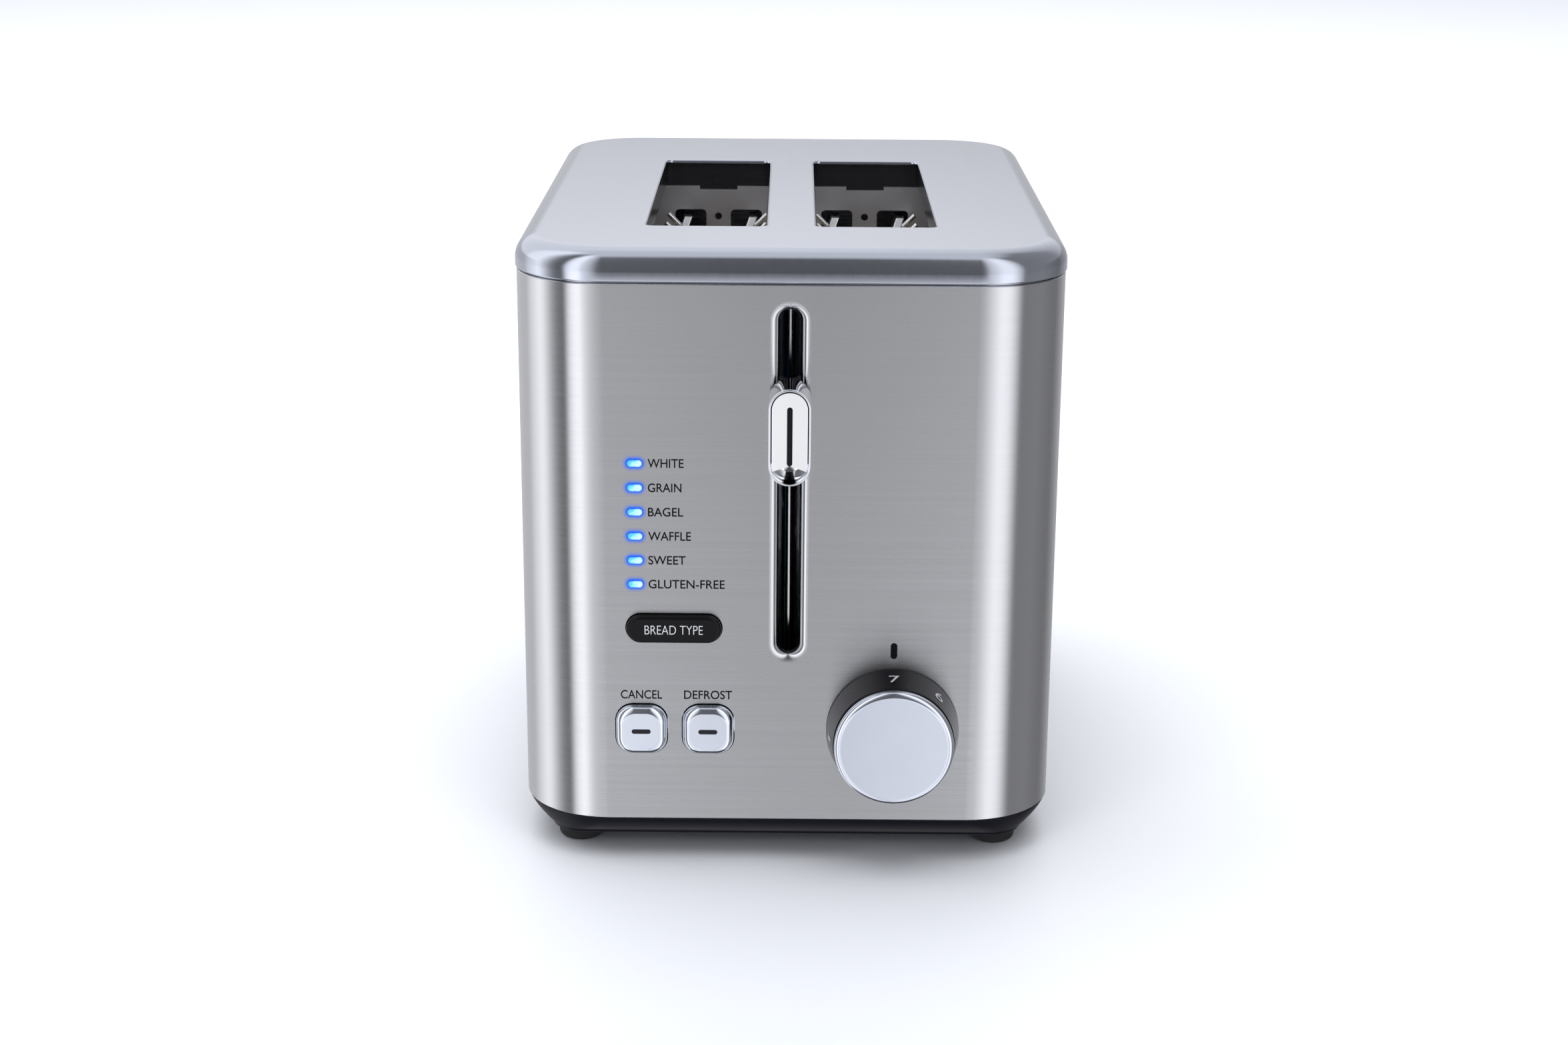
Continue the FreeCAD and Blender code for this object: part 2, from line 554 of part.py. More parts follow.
class Piece:
    """A PartDesign body: sketches on its own origin planes, padded and cut between positions."""

    def __init__(self, label):
        self.body = doc.addObject("PartDesign::Body", label)
        self.body.Label = label
        self.body.AllowCompound = True
        self.body.setExpression("Placement.Base.y", "sizes.frame_shift")
        pieces.append(self.body)

    def origin(self, role):
        return [item for item in self.body.Origin.OriginFeatures if item.Role == role][0]

    def sketch(self, plane, place, outlines):
        sketch = self.body.newObject("Sketcher::SketchObject", "outline")
        sketch.AttachmentSupport = [(self.origin(plane + "_Plane"), "")]
        sketch.MapMode = "FlatFace"
        bind(sketch, "AttachmentOffset.Base.z", as_size(place) * OUTWARD[plane])
        for draw in outlines:
            draw(sketch)
        return sketch

    def pad(self, plane, low, high, *outlines):
        """Material between two positions along the axis that the plane faces."""
        start = low if OUTWARD[plane] > 0 else high
        feature = self.body.newObject("PartDesign::Pad", "pad")
        feature.Profile = self.sketch(plane, start, outlines)
        bind(feature, "Length", high - low)
        self.body.Tip = feature
        adding.append(feature)
        return feature

    def cut(self, plane, low, high, *outlines):
        """Takes material away between two positions along the axis that the plane faces."""
        start = high if OUTWARD[plane] > 0 else low
        feature = self.body.newObject("PartDesign::Pocket", "cut")
        feature.Profile = self.sketch(plane, start, outlines)
        bind(feature, "Length", high - low)
        self.body.Tip = feature
        cutting.append(feature)
        return feature

    def turn(self, plane, place, outline, angle=360.0, x=0.0, z=0.0, reverse=False):
        """A turned shape, about the line along Y or Z that the sketch's own V axis gives."""
        sketch = self.sketch(plane, place, [outline])
        if as_size(x).number:
            bind(sketch, "AttachmentOffset.Base.x", x)
        if as_size(z).number:
            bind(sketch, "AttachmentOffset.Base.z", z)
        feature = self.body.newObject("PartDesign::Revolution", "turned")
        feature.Profile = sketch
        feature.ReferenceAxis = (sketch, ["V_Axis"])
        feature.Angle = angle
        feature.Reversed = reverse
        self.body.Tip = feature
        adding.append(feature)
        return feature

    def loft(self, sections):
        """A shape drawn between two outlines at two heights: (z, outline) for each."""
        sketches = [self.sketch("XY", place, [outline]) for place, outline in sections]
        feature = self.body.newObject("PartDesign::AdditiveLoft", "taper")
        feature.Profile = sketches[0]
        feature.Sections = sketches[1:]
        feature.Ruled = True
        self.body.Tip = feature
        adding.append(feature)
        return feature

    def edges(self, chosen):
        """Names of the edges so far for which chosen(edge) is true."""
        doc.recompute()
        return ["Edge%d" % number for number, edge in enumerate(self.body.Tip.Shape.Edges, 1)
                if chosen(edge)]

    def soften(self, kind, size, chosen):
        """Rounds (Fillet) or bevels (Chamfer) the chosen edges."""
        names = self.edges(chosen)
        if not names:
            raise RuntimeError("%s has no edge to soften" % self.body.Label)
        tip = self.body.Tip
        feature = self.body.newObject("PartDesign::" + kind, kind.lower())
        feature.Base = (tip, names)
        bind(feature, "Radius" if kind == "Fillet" else "Size", size)
        self.body.Tip = feature
        return feature

    def row(self, features, axis, step, count):
        """Repeats features in a row along an origin axis."""
        doc.recompute()
        feature = self.body.newObject("PartDesign::LinearPattern", "row")
        feature.Originals = features
        feature.Direction = (self.origin(axis + "_Axis"), [""])
        feature.Occurrences = count
        bind(feature, "Length", step * (count - 1))
        self.body.Tip = feature
        adding.append(feature)
        return feature


def lies_at(axis, place, spread=0.02):
    """Chooses edges that lie wholly at one position along an axis (0, 1 or 2)."""
    place = as_size(place).number

    def chosen(edge):
        limits = edge.BoundBox
        low = (limits.XMin, limits.YMin, limits.ZMin)[axis]
        high = (limits.XMax, limits.YMax, limits.ZMax)[axis]
        return abs(low - place) < spread and abs(high - place) < spread
    return chosen


def both(*tests):
    """Chooses edges that pass every test."""
    return lambda edge: all(test(edge) for test in tests)


def within(x_low, x_high, y_low, y_high, z_low, z_high):
    """Chooses edges inside a box."""
    numbers = [as_size(size).number for size in (x_low, x_high, y_low, y_high, z_low, z_high)]

    def chosen(edge):
        limits = edge.BoundBox
        return (numbers[0] <= limits.XMin and limits.XMax <= numbers[1]
                and numbers[2] <= limits.YMin and limits.YMax <= numbers[3]
                and numbers[4] <= limits.ZMin and limits.ZMax <= numbers[5])
    return chosen


def block(label, x_low, x_high, y_low, y_high, z_low, z_high):
    """A plain rectangular piece."""
    piece = Piece(label)
    piece.pad("XY", z_low, z_high, box(x_low, x_high, y_low, y_high))
    return piece


# Positions that several pieces share.
half_x = d.body_width / 2
half_y = d.body_depth / 2
shell_x = half_x - d.cover_lap
shell_y = half_y - d.cover_lap
front = -shell_y
rear = shell_y
inside = front + d.wall
slot_middle = (d.slot_inner + d.slot_outer) / 2
front_plate_back = d.front_plate + d.plate_wall
rear_plate_back = d.rear_plate + d.plate_wall
cover_inside = d.cover_top - d.cover_wall
tray_top = d.tray_floor + d.tray_tall
mouth = d.tray_half + d.tray_clear
spigot = d.wall + d.spigot_gap


# ---- steel body: a wrap of sheet, with the holes for the controls ----------------------------

def button_outlines(grow):
    """The three buttons' outlines in the front face, grown by a clearance."""
    outlines = []
    for place in (d.cancel_place, d.defrost_place):
        across, up = d.button_width / 2 + grow, d.button_tall / 2 + grow
        outlines.append(rounded(place - across, place + across, d.button_height - up,
                                d.button_height + up, d.button_corner + grow))
    across, up = d.type_half + grow, d.type_tall / 2 + grow
    outlines.append(stadium(d.type_place - across, d.type_place + across,
                            d.type_height - up, d.type_height + up))
    return outlines


def lens_height(index):
    return d.lens_top - d.lens_pitch * index


def lens_outline(index, grow=0.0):
    """One indicator lens, counted from the top."""
    return stadium(d.lens_place - d.lens_half - grow, d.lens_place + d.lens_half + grow,
                   lens_height(index) - d.lens_radius - grow,
                   lens_height(index) + d.lens_radius + grow)


shell = Piece("body_shell")
shell_top = d.seam_height - d.seam_gap / 2
shell.pad("XY", d.steel_bottom, shell_top,
          rounded(-shell_x, shell_x, -shell_y, shell_y, d.corner - d.cover_lap))
shell.cut("XY", d.steel_bottom, shell_top,
          rounded(d.wall - shell_x, shell_x - d.wall, d.wall - shell_y, shell_y - d.wall,
                  d.corner - d.cover_lap - d.wall))
lip = d.track_roll + d.track_rib
rib_back = front + d.track_roll + d.track_land
shell.pad("XZ", inside, rib_back,
          stadium(-d.track_half - lip, d.track_half + lip, d.track_low - lip, d.track_high + lip))
shell.cut("XZ", front, rib_back,
          stadium(-d.track_half, d.track_half, d.track_low, d.track_high))
shell.soften("Fillet", d.track_roll,
             both(lies_at(1, front), within(-4, 4, -130, -110, d.track_low - 1, d.track_high + 1)))
shell.cut("XZ", front, inside, *button_outlines(d.button_gap),
          *[lens_outline(index, d.lens_gap) for index in range(LENSES)],
          circle(d.knob_place, d.knob_height, d.neck_hole))
shell.cut("XZ", rear - d.wall, rear, circle(d.gland_place, d.gland_height, d.gland_hole),
          box(-mouth, mouth, d.steel_bottom, tray_top + d.mouth_rise))


# ---- cover: pressed sheet with a rolled edge and two bread slots -----------------------------

cover = Piece("top_cover")
cover_bottom = d.seam_height + d.seam_gap / 2
cover.pad("XY", cover_bottom, d.cover_top, rounded(-half_x, half_x, -half_y, half_y, d.corner))
cover.cut("XY", cover_bottom, cover_inside,
          rounded(d.cover_wall - half_x, half_x - d.cover_wall, d.cover_wall - half_y,
                  half_y - d.cover_wall, d.corner - d.cover_wall))
cover.soften("Fillet", d.cover_edge - d.cover_wall, lies_at(2, cover_inside))
cover.soften("Fillet", d.cover_edge, lies_at(2, d.cover_top))
cover.cut("XY", cover_inside, d.cover_top, *[
    rounded(low, high, d.slot_front, d.slot_rear, d.slot_corner)
    for low, high in ((-d.slot_outer, -d.slot_inner), (d.slot_inner, d.slot_outer))])
cover.soften("Fillet", d.slot_roll,
             both(lies_at(2, d.cover_top), within(-half_x / 2 - d.cover_edge, half_x / 2 + d.cover_edge,
                                                  -half_y, half_y, cover_inside, half_y * 2)))


def body_outline(inset):
    """The body's outline from above, set in by a distance."""
    return rounded(inset - shell_x, shell_x - inset, inset - shell_y, shell_y - inset,
                   d.corner - d.cover_lap - inset)


tongue_in = spigot + d.tongue_wall
tongue_top = cover_bottom + d.tongue_rise
cover.pad("XY", d.seam_height - d.tongue_drop, tongue_top, body_outline(spigot), body_outline(tongue_in))
cover.pad("XY", cover_bottom + d.seat_rise, tongue_top, body_outline(d.seat_inset), body_outline(tongue_in))

for side, sign in SIDES:
    collar = Piece("slot_collar_" + side)
    low = slot_middle * sign - (d.slot_outer - d.slot_inner) / 2 - d.collar_gap
    high = slot_middle * sign + (d.slot_outer - d.slot_inner) / 2 + d.collar_gap
    well_front, well_rear = d.front_plate - d.well_gap, rear_plate_back + d.well_gap
    collar.pad("XY", d.collar_bottom, cover_inside,
               rounded(low - d.collar_wall, high + d.collar_wall, well_front - d.collar_wall,
                       well_rear + d.collar_wall, d.slot_corner + d.collar_wall),
               rounded(low, high, well_front, well_rear, d.slot_corner))
    for y_low, y_high in ((well_front - d.collar_wall, well_front),
                          (well_rear, well_rear + d.collar_wall)):
        collar.pad("XY", d.apron_bottom, d.collar_bottom, box(low, high, y_low, y_high))


# ---- base: black moulding that tapers in to the table, with feet and screws -------------------

base = Piece("base")
skirt_x, skirt_y = shell_x - d.skirt_inset, shell_y - d.skirt_inset
base.loft([
    (d.base_bottom, rounded(-skirt_x, skirt_x, -skirt_y, skirt_y, d.base_corner)),
    (d.steel_bottom, body_outline(d.skirt_lap)),
])
base.pad("XY", d.steel_bottom, tray_top, body_outline(spigot))
floor_top = d.base_bottom + d.base_floor
base.cut("XY", floor_top, d.steel_bottom, body_outline(d.cavity_inset))
base.cut("XY", d.steel_bottom, tray_top, body_outline(spigot + d.spigot_wall))
base.cut("XZ", shell_y - d.mouth_deep, rear, box(-mouth, mouth, d.steel_bottom, tray_top))
base.pad("XY", floor_top, d.tray_floor - d.rail_gap, *[
    box(place, place + d.rail_wide, d.tray_front, shell_y - d.cavity_inset)
    for place in (-d.rail_place - d.rail_wide, d.rail_place)])
screw_places = [((d.plate_half - d.screw_inset) * sign, middle) for side, sign in SIDES
                for middle in (d.front_plate - d.flange / 2, rear_plate_back + d.flange / 2)]
base.pad("XY", floor_top, d.plate_bottom, *[
    box(x - d.post_half, x + d.post_half, y - d.flange / 2, y + d.flange / 2) for x, y in screw_places])
base.cut("XY", d.base_bottom, d.plate_bottom, *[circle(x, y, d.screw_hole) for x, y in screw_places])
base.cut("XY", d.base_bottom, d.base_bottom + d.head_deep, *[
    circle(x, y, d.head_hole) for x, y in screw_places])
vents = [d.vent_first + d.vent_pitch * index for index in range(VENTS)]
base.cut("XY", d.base_bottom, floor_top, *[
    stadium(-d.vent_long, d.vent_long, vent - d.vent_half, vent + d.vent_half) for vent in vents])

screws = Piece("base_screws")
head_low = d.base_bottom + d.head_sunk
head_high = d.base_bottom + d.head_deep
screws.pad("XY", head_low, head_high, *[circle(x, y, d.head_radius) for x, y in screw_places])
screws.pad("XY", head_high, d.plate_bottom + d.screw_reach, *[
    circle(x, y, d.screw_radius) for x, y in screw_places])
screws.cut("XY", head_low, head_low + d.drive_deep, *[
    box(x - d.drive_long, x + d.drive_long, y - d.drive_half, y + d.drive_half)
    for x, y in screw_places])

feet = Piece("feet")
feet.pad("XY", 0.0, d.base_bottom, *[
    circle(d.foot_across * sign, d.foot_along * way, d.foot_radius)
    for side, sign in SIDES for way in (-1, 1)])
feet.soften("Fillet", d.foot_round, lies_at(2, 0.0))


# ---- crumb tray: slides out at the back -------------------------------------------------------

tray = Piece("crumb_tray")
tray_rear = shell_y + d.tray_reach
tray.pad("XY", d.tray_floor, tray_top, box(-d.tray_half, d.tray_half, d.tray_front, tray_rear))
tray.cut("XY", d.tray_floor + d.tray_sheet, tray_top,
         box(d.tray_sheet - d.tray_half, d.tray_half - d.tray_sheet, d.tray_front + d.tray_sheet,
             tray_rear - d.tray_sheet))

handle = Piece("crumb_tray_handle")
handle_half = d.tray_half + d.handle_side
handle_back = shell_y + d.rear_reach
handle_low, handle_high = d.steel_bottom + d.handle_lift, tray_top + d.handle_rise
handle.pad("XZ", tray_rear, handle_back,
           rounded(-handle_half, handle_half, handle_low, handle_high, d.handle_corner))
handle.cut("XY", d.steel_bottom, d.steel_bottom + d.grip_tall,
           rounded(-d.grip_half, d.grip_half, tray_rear + d.grip_wall, handle_back + d.rear_reach,
                   d.grip_corner))
handle.soften("Fillet", d.handle_round,
              both(lies_at(1, handle_back),
                   within(-half_x, half_x, rear, rear + d.body_depth, d.steel_bottom + 2.5, half_y)))


# ---- chassis: end plates, reflectors, heater boards --------------------------------------------

def chassis_plate(label, y_low, outward):
    """An end plate with the rack slots, the guide windows and pivots, and a foot flange."""
    plate = Piece(label)
    y_high = y_low + d.plate_wall
    plate.pad("XZ", y_low, y_high, box(-d.plate_half, d.plate_half, d.plate_bottom, d.plate_top))
    holes = []
    for side, sign in SIDES:
        middle = slot_middle * sign
        holes.append(box(middle - d.top_notch, middle + d.top_notch, d.plate_top - d.notch_deep,
                         d.plate_top))
        holes.append(stadium(middle - d.rack_slot_half, middle + d.rack_slot_half,
                             d.rack_slot_low, d.rack_slot_high))
        for low, high in ((middle + d.window_inner, middle + d.window_outer),
                          (middle - d.window_outer, middle - d.window_inner)):
            holes.append(rounded(low, high, d.tab_low, d.tab_high, d.window_corner))
        for pivot in (middle - d.guide_offset, middle + d.guide_offset):
            holes.append(circle(pivot, d.guide_pivot, d.pivot_wire + d.pivot_clear))
        holes.append(circle(middle, d.tab_high - d.pilot_drop, d.pilot_hole))
    plate.cut("XZ", y_low, y_high, *holes)
    edge = (y_low - d.flange, y_low) if outward < 0 else (y_high, y_high + d.flange)
    flange_top = d.plate_bottom + d.plate_wall
    plate.pad("XY", d.plate_bottom, flange_top, box(-d.plate_half, d.plate_half, *edge))
    plate.cut("XY", d.plate_bottom, flange_top, *[
        circle(x, y, d.flange_hole) for x, y in screw_places if (y.number < 0) == (outward < 0)])


chassis_plate("chassis_front_plate", d.front_plate, -1)
chassis_plate("chassis_rear_plate", d.rear_plate, 1)

louvres = [d.louvre_first + d.louvre_pitch * index for index in range(LOUVRES)]
for side, low in (("left", -d.reflector_offset - d.reflector_wall), ("right", d.reflector_offset)):
    reflector = Piece("reflector_" + side)
    reflector.pad("YZ", low, low + d.reflector_wall,
                  box(front_plate_back, d.rear_plate, d.reflector_low, d.reflector_high))
    reflector.cut("YZ", low, low + d.reflector_wall, *[
        stadium(d.louvre_front, d.louvre_rear, louvre - d.louvre_half, louvre + d.louvre_half)
        for louvre in louvres])

ribbon_rows, ribbon_low, ribbon_step = 10, 50.0, 12.0
ribbon_front, ribbon_rear, ribbon_half = -70.0, 50.0, 0.8


def band(points, half):
    """A ribbon of even width along a path of right-angled turns."""
    left, right = [], []
    for index, (x, y) in enumerate(points):
        across, up = 0.0, 0.0
        for start, end in ((index - 1, index), (index, index + 1)):
            if start >= 0 and end < len(points):
                run, rise = points[end][0] - points[start][0], points[end][1] - points[start][1]
                across -= rise / (abs(run) + abs(rise))
                up += run / (abs(run) + abs(rise))
        left.append((x + half * across, y + half * up))
        right.append((x - half * across, y - half * up))
    return polygon(*(left + right[::-1]))


def ribbon_outline():
    """One long ribbon that runs to and fro across the board, from the bottom row to the top."""
    points = []
    for step in range(ribbon_rows):
        ends = (ribbon_front, ribbon_rear) if step % 2 == 0 else (ribbon_rear, ribbon_front)
        points += [(end, ribbon_low + ribbon_step * step) for end in ends]
    return band(points, ribbon_half)


def heater(side, board_face, faces):
    """A heater board with its ribbon windings; faces are +1 or -1 for the sides wound."""
    board = Piece("heater_board_" + side)
    board.pad("YZ", board_face, board_face + d.board_wall,
              box(front_plate_back, d.rear_plate, d.board_low, d.board_high))
    winding = Piece("heating_ribbon_" + side)
    for face in faces:
        low = board_face + d.board_wall if face > 0 else board_face - d.ribbon
        winding.pad("YZ", low, low + d.ribbon, ribbon_outline())


heater("left", -d.board_offset - d.board_wall / 2, (1,))
heater("centre", -d.board_wall / 2, (-1, 1))
heater("right", d.board_offset - d.board_wall / 2, (-1,))


# ---- bread guides: wire grilles that lean in on the bread --------------------------------------

guide_last = d.guide_first + d.guide_pitch * (GUIDE_WIRES - 1)
tab_bottom, tab_top = d.tab_low + d.tab_rise, d.tab_high - d.tab_drop
for side, sign in SIDES:
    for inner_or_outer, way in (("outer", sign), ("inner", -sign)):
        guide = Piece("bread_guide_%s_%s" % (side, inner_or_outer))
        line = slot_middle * sign + d.guide_offset * way
        top = d.guide_bend + d.guide_flare
        flared = line + d.guide_flare * way
        profile = guide.sketch("XY", d.guide_pivot, [circle(line, d.guide_first, d.guide_wire)])
        spine = guide.sketch("XZ", d.guide_first, [])
        lower = Part.LineSegment(at(line, d.guide_pivot), at(line, d.guide_bend))
        upper = Part.LineSegment(at(line, d.guide_bend), at(flared, top))
        spine.addGeometry([lower, upper])
        spine.addConstraint(Sketcher.Constraint("Coincident", 0, 2, 1, 1))
        fix(spine, 0, 1, line, d.guide_pivot)
        fix(spine, 0, 2, line, d.guide_bend)
        fix(spine, 1, 2, flared, top)
        wire = guide.body.newObject("PartDesign::AdditivePipe", "wire")
        wire.Profile = profile
        wire.Spine = (spine, ["Edge1", "Edge2"])
        wire.Transition = "Right corner"
        guide.body.Tip = wire
        guide.row([wire], "Y", d.guide_pitch, GUIDE_WIRES)
        guide.pad("XZ", d.front_plate - d.pivot_reach, rear_plate_back + d.pivot_reach,
                  circle(line, d.guide_pivot, d.pivot_wire))
        guide.pad("XZ", d.rail_front, d.rail_rear, circle(line, d.guide_rail, d.guide_wire))
        low = line - d.tab_wide + d.tab_over if way > 0 else line - d.tab_over
        high = low + d.tab_wide
        for y_low, y_high in ((d.front_plate - d.tab_reach, d.guide_first),
                              (guide_last, rear_plate_back + d.tab_reach)):
            guide.pad("XZ", y_low, y_high,
                      polygon((low - d.tab_lean, tab_bottom), (high - d.tab_lean, tab_bottom),
                              (high + d.tab_lean, tab_top), (low + d.tab_lean, tab_top)))


# ---- carriage: rod, bracket, bread racks, lever ------------------------------------------------

rod = Piece("guide_rod")
rod.pad("XY", d.rod_low, d.rod_high, circle(0.0, d.rod_place, d.rod_radius))
for label, z_low, flange_low, flange_high, x_high in (
        ("rod_bracket_top", d.top_bracket, d.top_bracket - d.bracket_wall,
         d.top_bracket + d.bracket_wall, d.top_bracket_right),
        ("rod_bracket_bottom", d.low_bracket, d.low_bracket, d.low_bracket + d.low_flange,
         -d.bracket_left)):
    bracket = Piece(label)
    bracket.pad("XY", z_low, z_low + d.bracket_wall,
                box(d.bracket_left, x_high, d.bracket_front, d.front_plate))
    bracket.pad("XZ", d.front_plate - d.bracket_flange, d.front_plate,
                box(d.bracket_left, x_high, flange_low, flange_high))
    bracket.cut("XY", z_low, z_low + d.bracket_wall, circle(0.0, d.rod_place, d.rod_radius + d.rod_fit))

strap_low, strap_high = d.lever_height - d.strap_below, d.lever_height + d.strap_above
carriage_front = d.carriage_back + d.carriage_sheet
carriage = Piece("carriage_bracket")
carriage.pad("XZ", d.carriage_back, carriage_front,
             rounded(-d.carriage_half, d.carriage_half, d.rack_height - d.carriage_below,
                     d.lever_height + d.carriage_above, d.carriage_corner))
carriage.cut("XZ", d.carriage_back, carriage_front, *[
    rounded(low, low + d.carriage_hole, d.rack_height + d.carriage_hole,
            d.lever_height + d.carriage_hole_top, d.carriage_corner)
    for low in (-d.carriage_hole_place - d.carriage_hole, d.carriage_hole_place)])
for low in (strap_low, strap_high):
    carriage.pad("XY", low, low + d.carriage_sheet,
                 box(-d.strap_half, d.strap_half, d.strap_front, d.carriage_back),
                 circle(0.0, d.rod_place, d.bush_radius + d.bush_fit))
carriage.pad("XZ", d.strap_front, d.strap_front + d.carriage_sheet,
             box(-d.strap_half, d.strap_half, strap_low, strap_high + d.carriage_sheet))
spring_seat = d.rack_height + d.spring_seat
carriage.pad("XY", spring_seat - d.carriage_sheet, spring_seat,
             box(d.spring_across - d.seat_half, d.spring_across + d.seat_half,
                 d.spring_place - d.seat_half, d.carriage_back))

bushes = Piece("carriage_bushes")
for low in (strap_low, strap_high):
    bushes.pad("XY", low - d.bush_below, low + d.bush_above, circle(0.0, d.rod_place, d.bush_radius),
               circle(0.0, d.rod_place, d.rod_radius + d.bush_clear))

stem = Piece("lever_stem")
stem_low, stem_high = d.lever_height - d.stem_tall / 2, d.lever_height + d.stem_tall / 2
stem_outline = rounded(-d.stem_half, d.stem_half, stem_low, stem_high, d.stem_corner)
lever_back = front - d.lever_gap
lever_front = front - d.front_reach
stem_front = lever_back - d.stem_socket
stem.pad("XZ", stem_front, d.strap_front, stem_outline)

lever = Piece("lever_knob")
lever_low, lever_high = d.lever_height - d.lever_tall / 2, d.lever_height + d.lever_tall / 2
lever.pad("XZ", lever_front, lever_back,
          stadium(-d.lever_half, d.lever_half, lever_low, lever_high))
lever.soften("Fillet", d.lever_round, lies_at(1, lever_front))
face_back = lever_front + d.lever_sink
lever.cut("XZ", lever_front, face_back,
          stadium(d.lever_rim - d.lever_half, d.lever_half - d.lever_rim, lever_low + d.lever_rim,
                  lever_high - d.lever_rim))
lever.cut("XZ", stem_front, lever_back, stem_outline)

face = Piece("lever_face")
plate_radius = d.lever_half - d.lever_rim - d.plate_gap
cone_top = lever_low + d.lever_half
plate_low = cone_top - plate_radius
face_front = lever_front + d.plate_step
face.pad("XZ", face_front, face_back,
         stadium(-plate_radius, plate_radius, plate_low, lever_high - d.lever_half + plate_radius))
face.cut("XZ", face_front, face_back, box(-d.lever_half, d.lever_half, lever_low, cone_top))
face.turn("XY", cone_top, polygon((0.0, face_front), (0.0, face_back), (plate_radius, face_back),
                                  (plate_radius, face_front + d.cone_fall)), angle=180.0)
inlay_outline = stadium(-d.inlay_half, d.inlay_half, cone_top - d.inlay_drop, cone_top + d.inlay_tall)
face.cut("XZ", face_front, face_front + d.inlay_deep, inlay_outline)

inlay = Piece("lever_inlay")
inlay.pad("XZ", face_front - d.inlay_proud, face_front + d.inlay_deep, inlay_outline)

for side, sign in SIDES:
    rack = Piece("bread_rack_" + side)
    middle = slot_middle * sign
    rack.pad("YZ", middle - d.rack_half, middle + d.rack_half,
             box(carriage_front, rear_plate_back + d.rack_reach, d.rack_height,
                 d.rack_height + d.rack_tall))
    rungs = rack.pad("YZ", middle - d.rung_half, middle + d.rung_half,
                     circle(d.rung_first, d.rack_height + d.rung_rise, d.rung_radius))
    rack.row([rungs], "Y", d.rung_pitch, RUNGS)

spring = Piece("return_spring")
coil_inner, coil_outer = d.coil_radius - d.coil_wire, d.coil_radius + d.coil_wire
coil_points = [(coil_inner, spring_seat)]
ring_pitch = (d.top_bracket - spring_seat) / COIL_RINGS
for ring in range(COIL_RINGS):
    ring_low = spring_seat + ring_pitch * ring
    coil_points += [(d.coil_radius, ring_low), (coil_outer, ring_low + ring_pitch / 2)]
coil_points += [(d.coil_radius, d.top_bracket), (coil_inner, d.top_bracket)]
spring.turn("XZ", d.spring_place, polygon(*coil_points), x=d.spring_across)


# ---- electromagnet that holds the carriage down --------------------------------------------------

def upright(label, half_x, half_y, z_low, z_high):
    """A rectangular piece about the electromagnet's leg."""
    return block(label, d.magnet_across - half_x, d.magnet_across + half_x, d.magnet_place - half_y,
                 d.magnet_place + half_y, z_low, z_high)


yoke_top = d.magnet_low + d.yoke_tall
core = upright("magnet_core", d.yoke_half, d.yoke_deep, d.magnet_low, yoke_top)
core.pad("XY", yoke_top, yoke_top + d.leg_tall,
         box(d.magnet_across - d.leg_half, d.magnet_across + d.leg_half, d.magnet_place - d.leg_deep,
             d.magnet_place + d.leg_deep))
coil = Piece("magnet_coil")
coil.pad("XY", yoke_top + d.coil_lift, yoke_top + d.coil_top,
         rounded(d.magnet_across - d.coil_half, d.magnet_across + d.coil_half,
                 d.magnet_place - d.coil_front, d.magnet_place + d.yoke_deep, d.coil_corner),
         box(d.magnet_across - d.leg_half - d.coil_fit, d.magnet_across + d.leg_half + d.coil_fit,
             d.magnet_place - d.leg_deep - d.coil_fit, d.magnet_place + d.leg_deep + d.coil_fit))
block("magnet_bracket", d.magnet_across - d.shelf_half, d.magnet_across + d.shelf_half,
      d.magnet_place - d.shelf_front, d.front_plate, d.magnet_low - d.shelf_wall, d.magnet_low)
block("armature_plate", d.magnet_across - d.yoke_half, d.magnet_across + d.yoke_half,
      d.magnet_place - d.yoke_deep, d.carriage_back, d.rack_height + d.armature_rise,
      d.rack_height + d.armature_rise + d.armature_wall)


# ---- control board, switches, indicators, button frame --------------------------------------------

circuit_back = d.circuit_place + d.circuit_wall
control_board = Piece("control_board")
control_board.pad("XZ", d.circuit_place, circuit_back,
                  rounded(d.circuit_left, d.circuit_right, d.circuit_low, d.circuit_high,
                          d.board_corner))
switch_places = [(d.cancel_place, d.button_height), (d.defrost_place, d.button_height),
                 (d.type_place, d.type_height)]
switches = Piece("push_switches")
switches.pad("XZ", d.circuit_place - d.switch_tall, d.circuit_place, *[
    box(x - d.switch_half, x + d.switch_half, z - d.switch_half, z + d.switch_half)
    for x, z in switch_places])
lamps = Piece("indicator_lamps")
lamps.pad("XZ", d.circuit_place - d.lamp_tall, d.circuit_place, *[
    box(d.lens_place - d.lamp_half, d.lens_place + d.lamp_half, lens_height(index) - d.lamp_wide,
        lens_height(index) + d.lamp_wide) for index in range(LENSES)])
lenses = Piece("indicator_lenses")
lens_front = front - d.lens_proud
bar_front = d.circuit_place - d.bar_front
lenses.pad("XZ", lens_front, bar_front, *[lens_outline(index) for index in range(LENSES)])
lenses.soften("Fillet", d.lens_round, lies_at(1, lens_front))
lenses.pad("XZ", bar_front, d.circuit_place - d.bar_back,
           box(d.lens_place - d.bar_half, d.lens_place + d.bar_half,
               lens_height(LENSES - 1) - d.bar_over, lens_height(0) + d.bar_over))

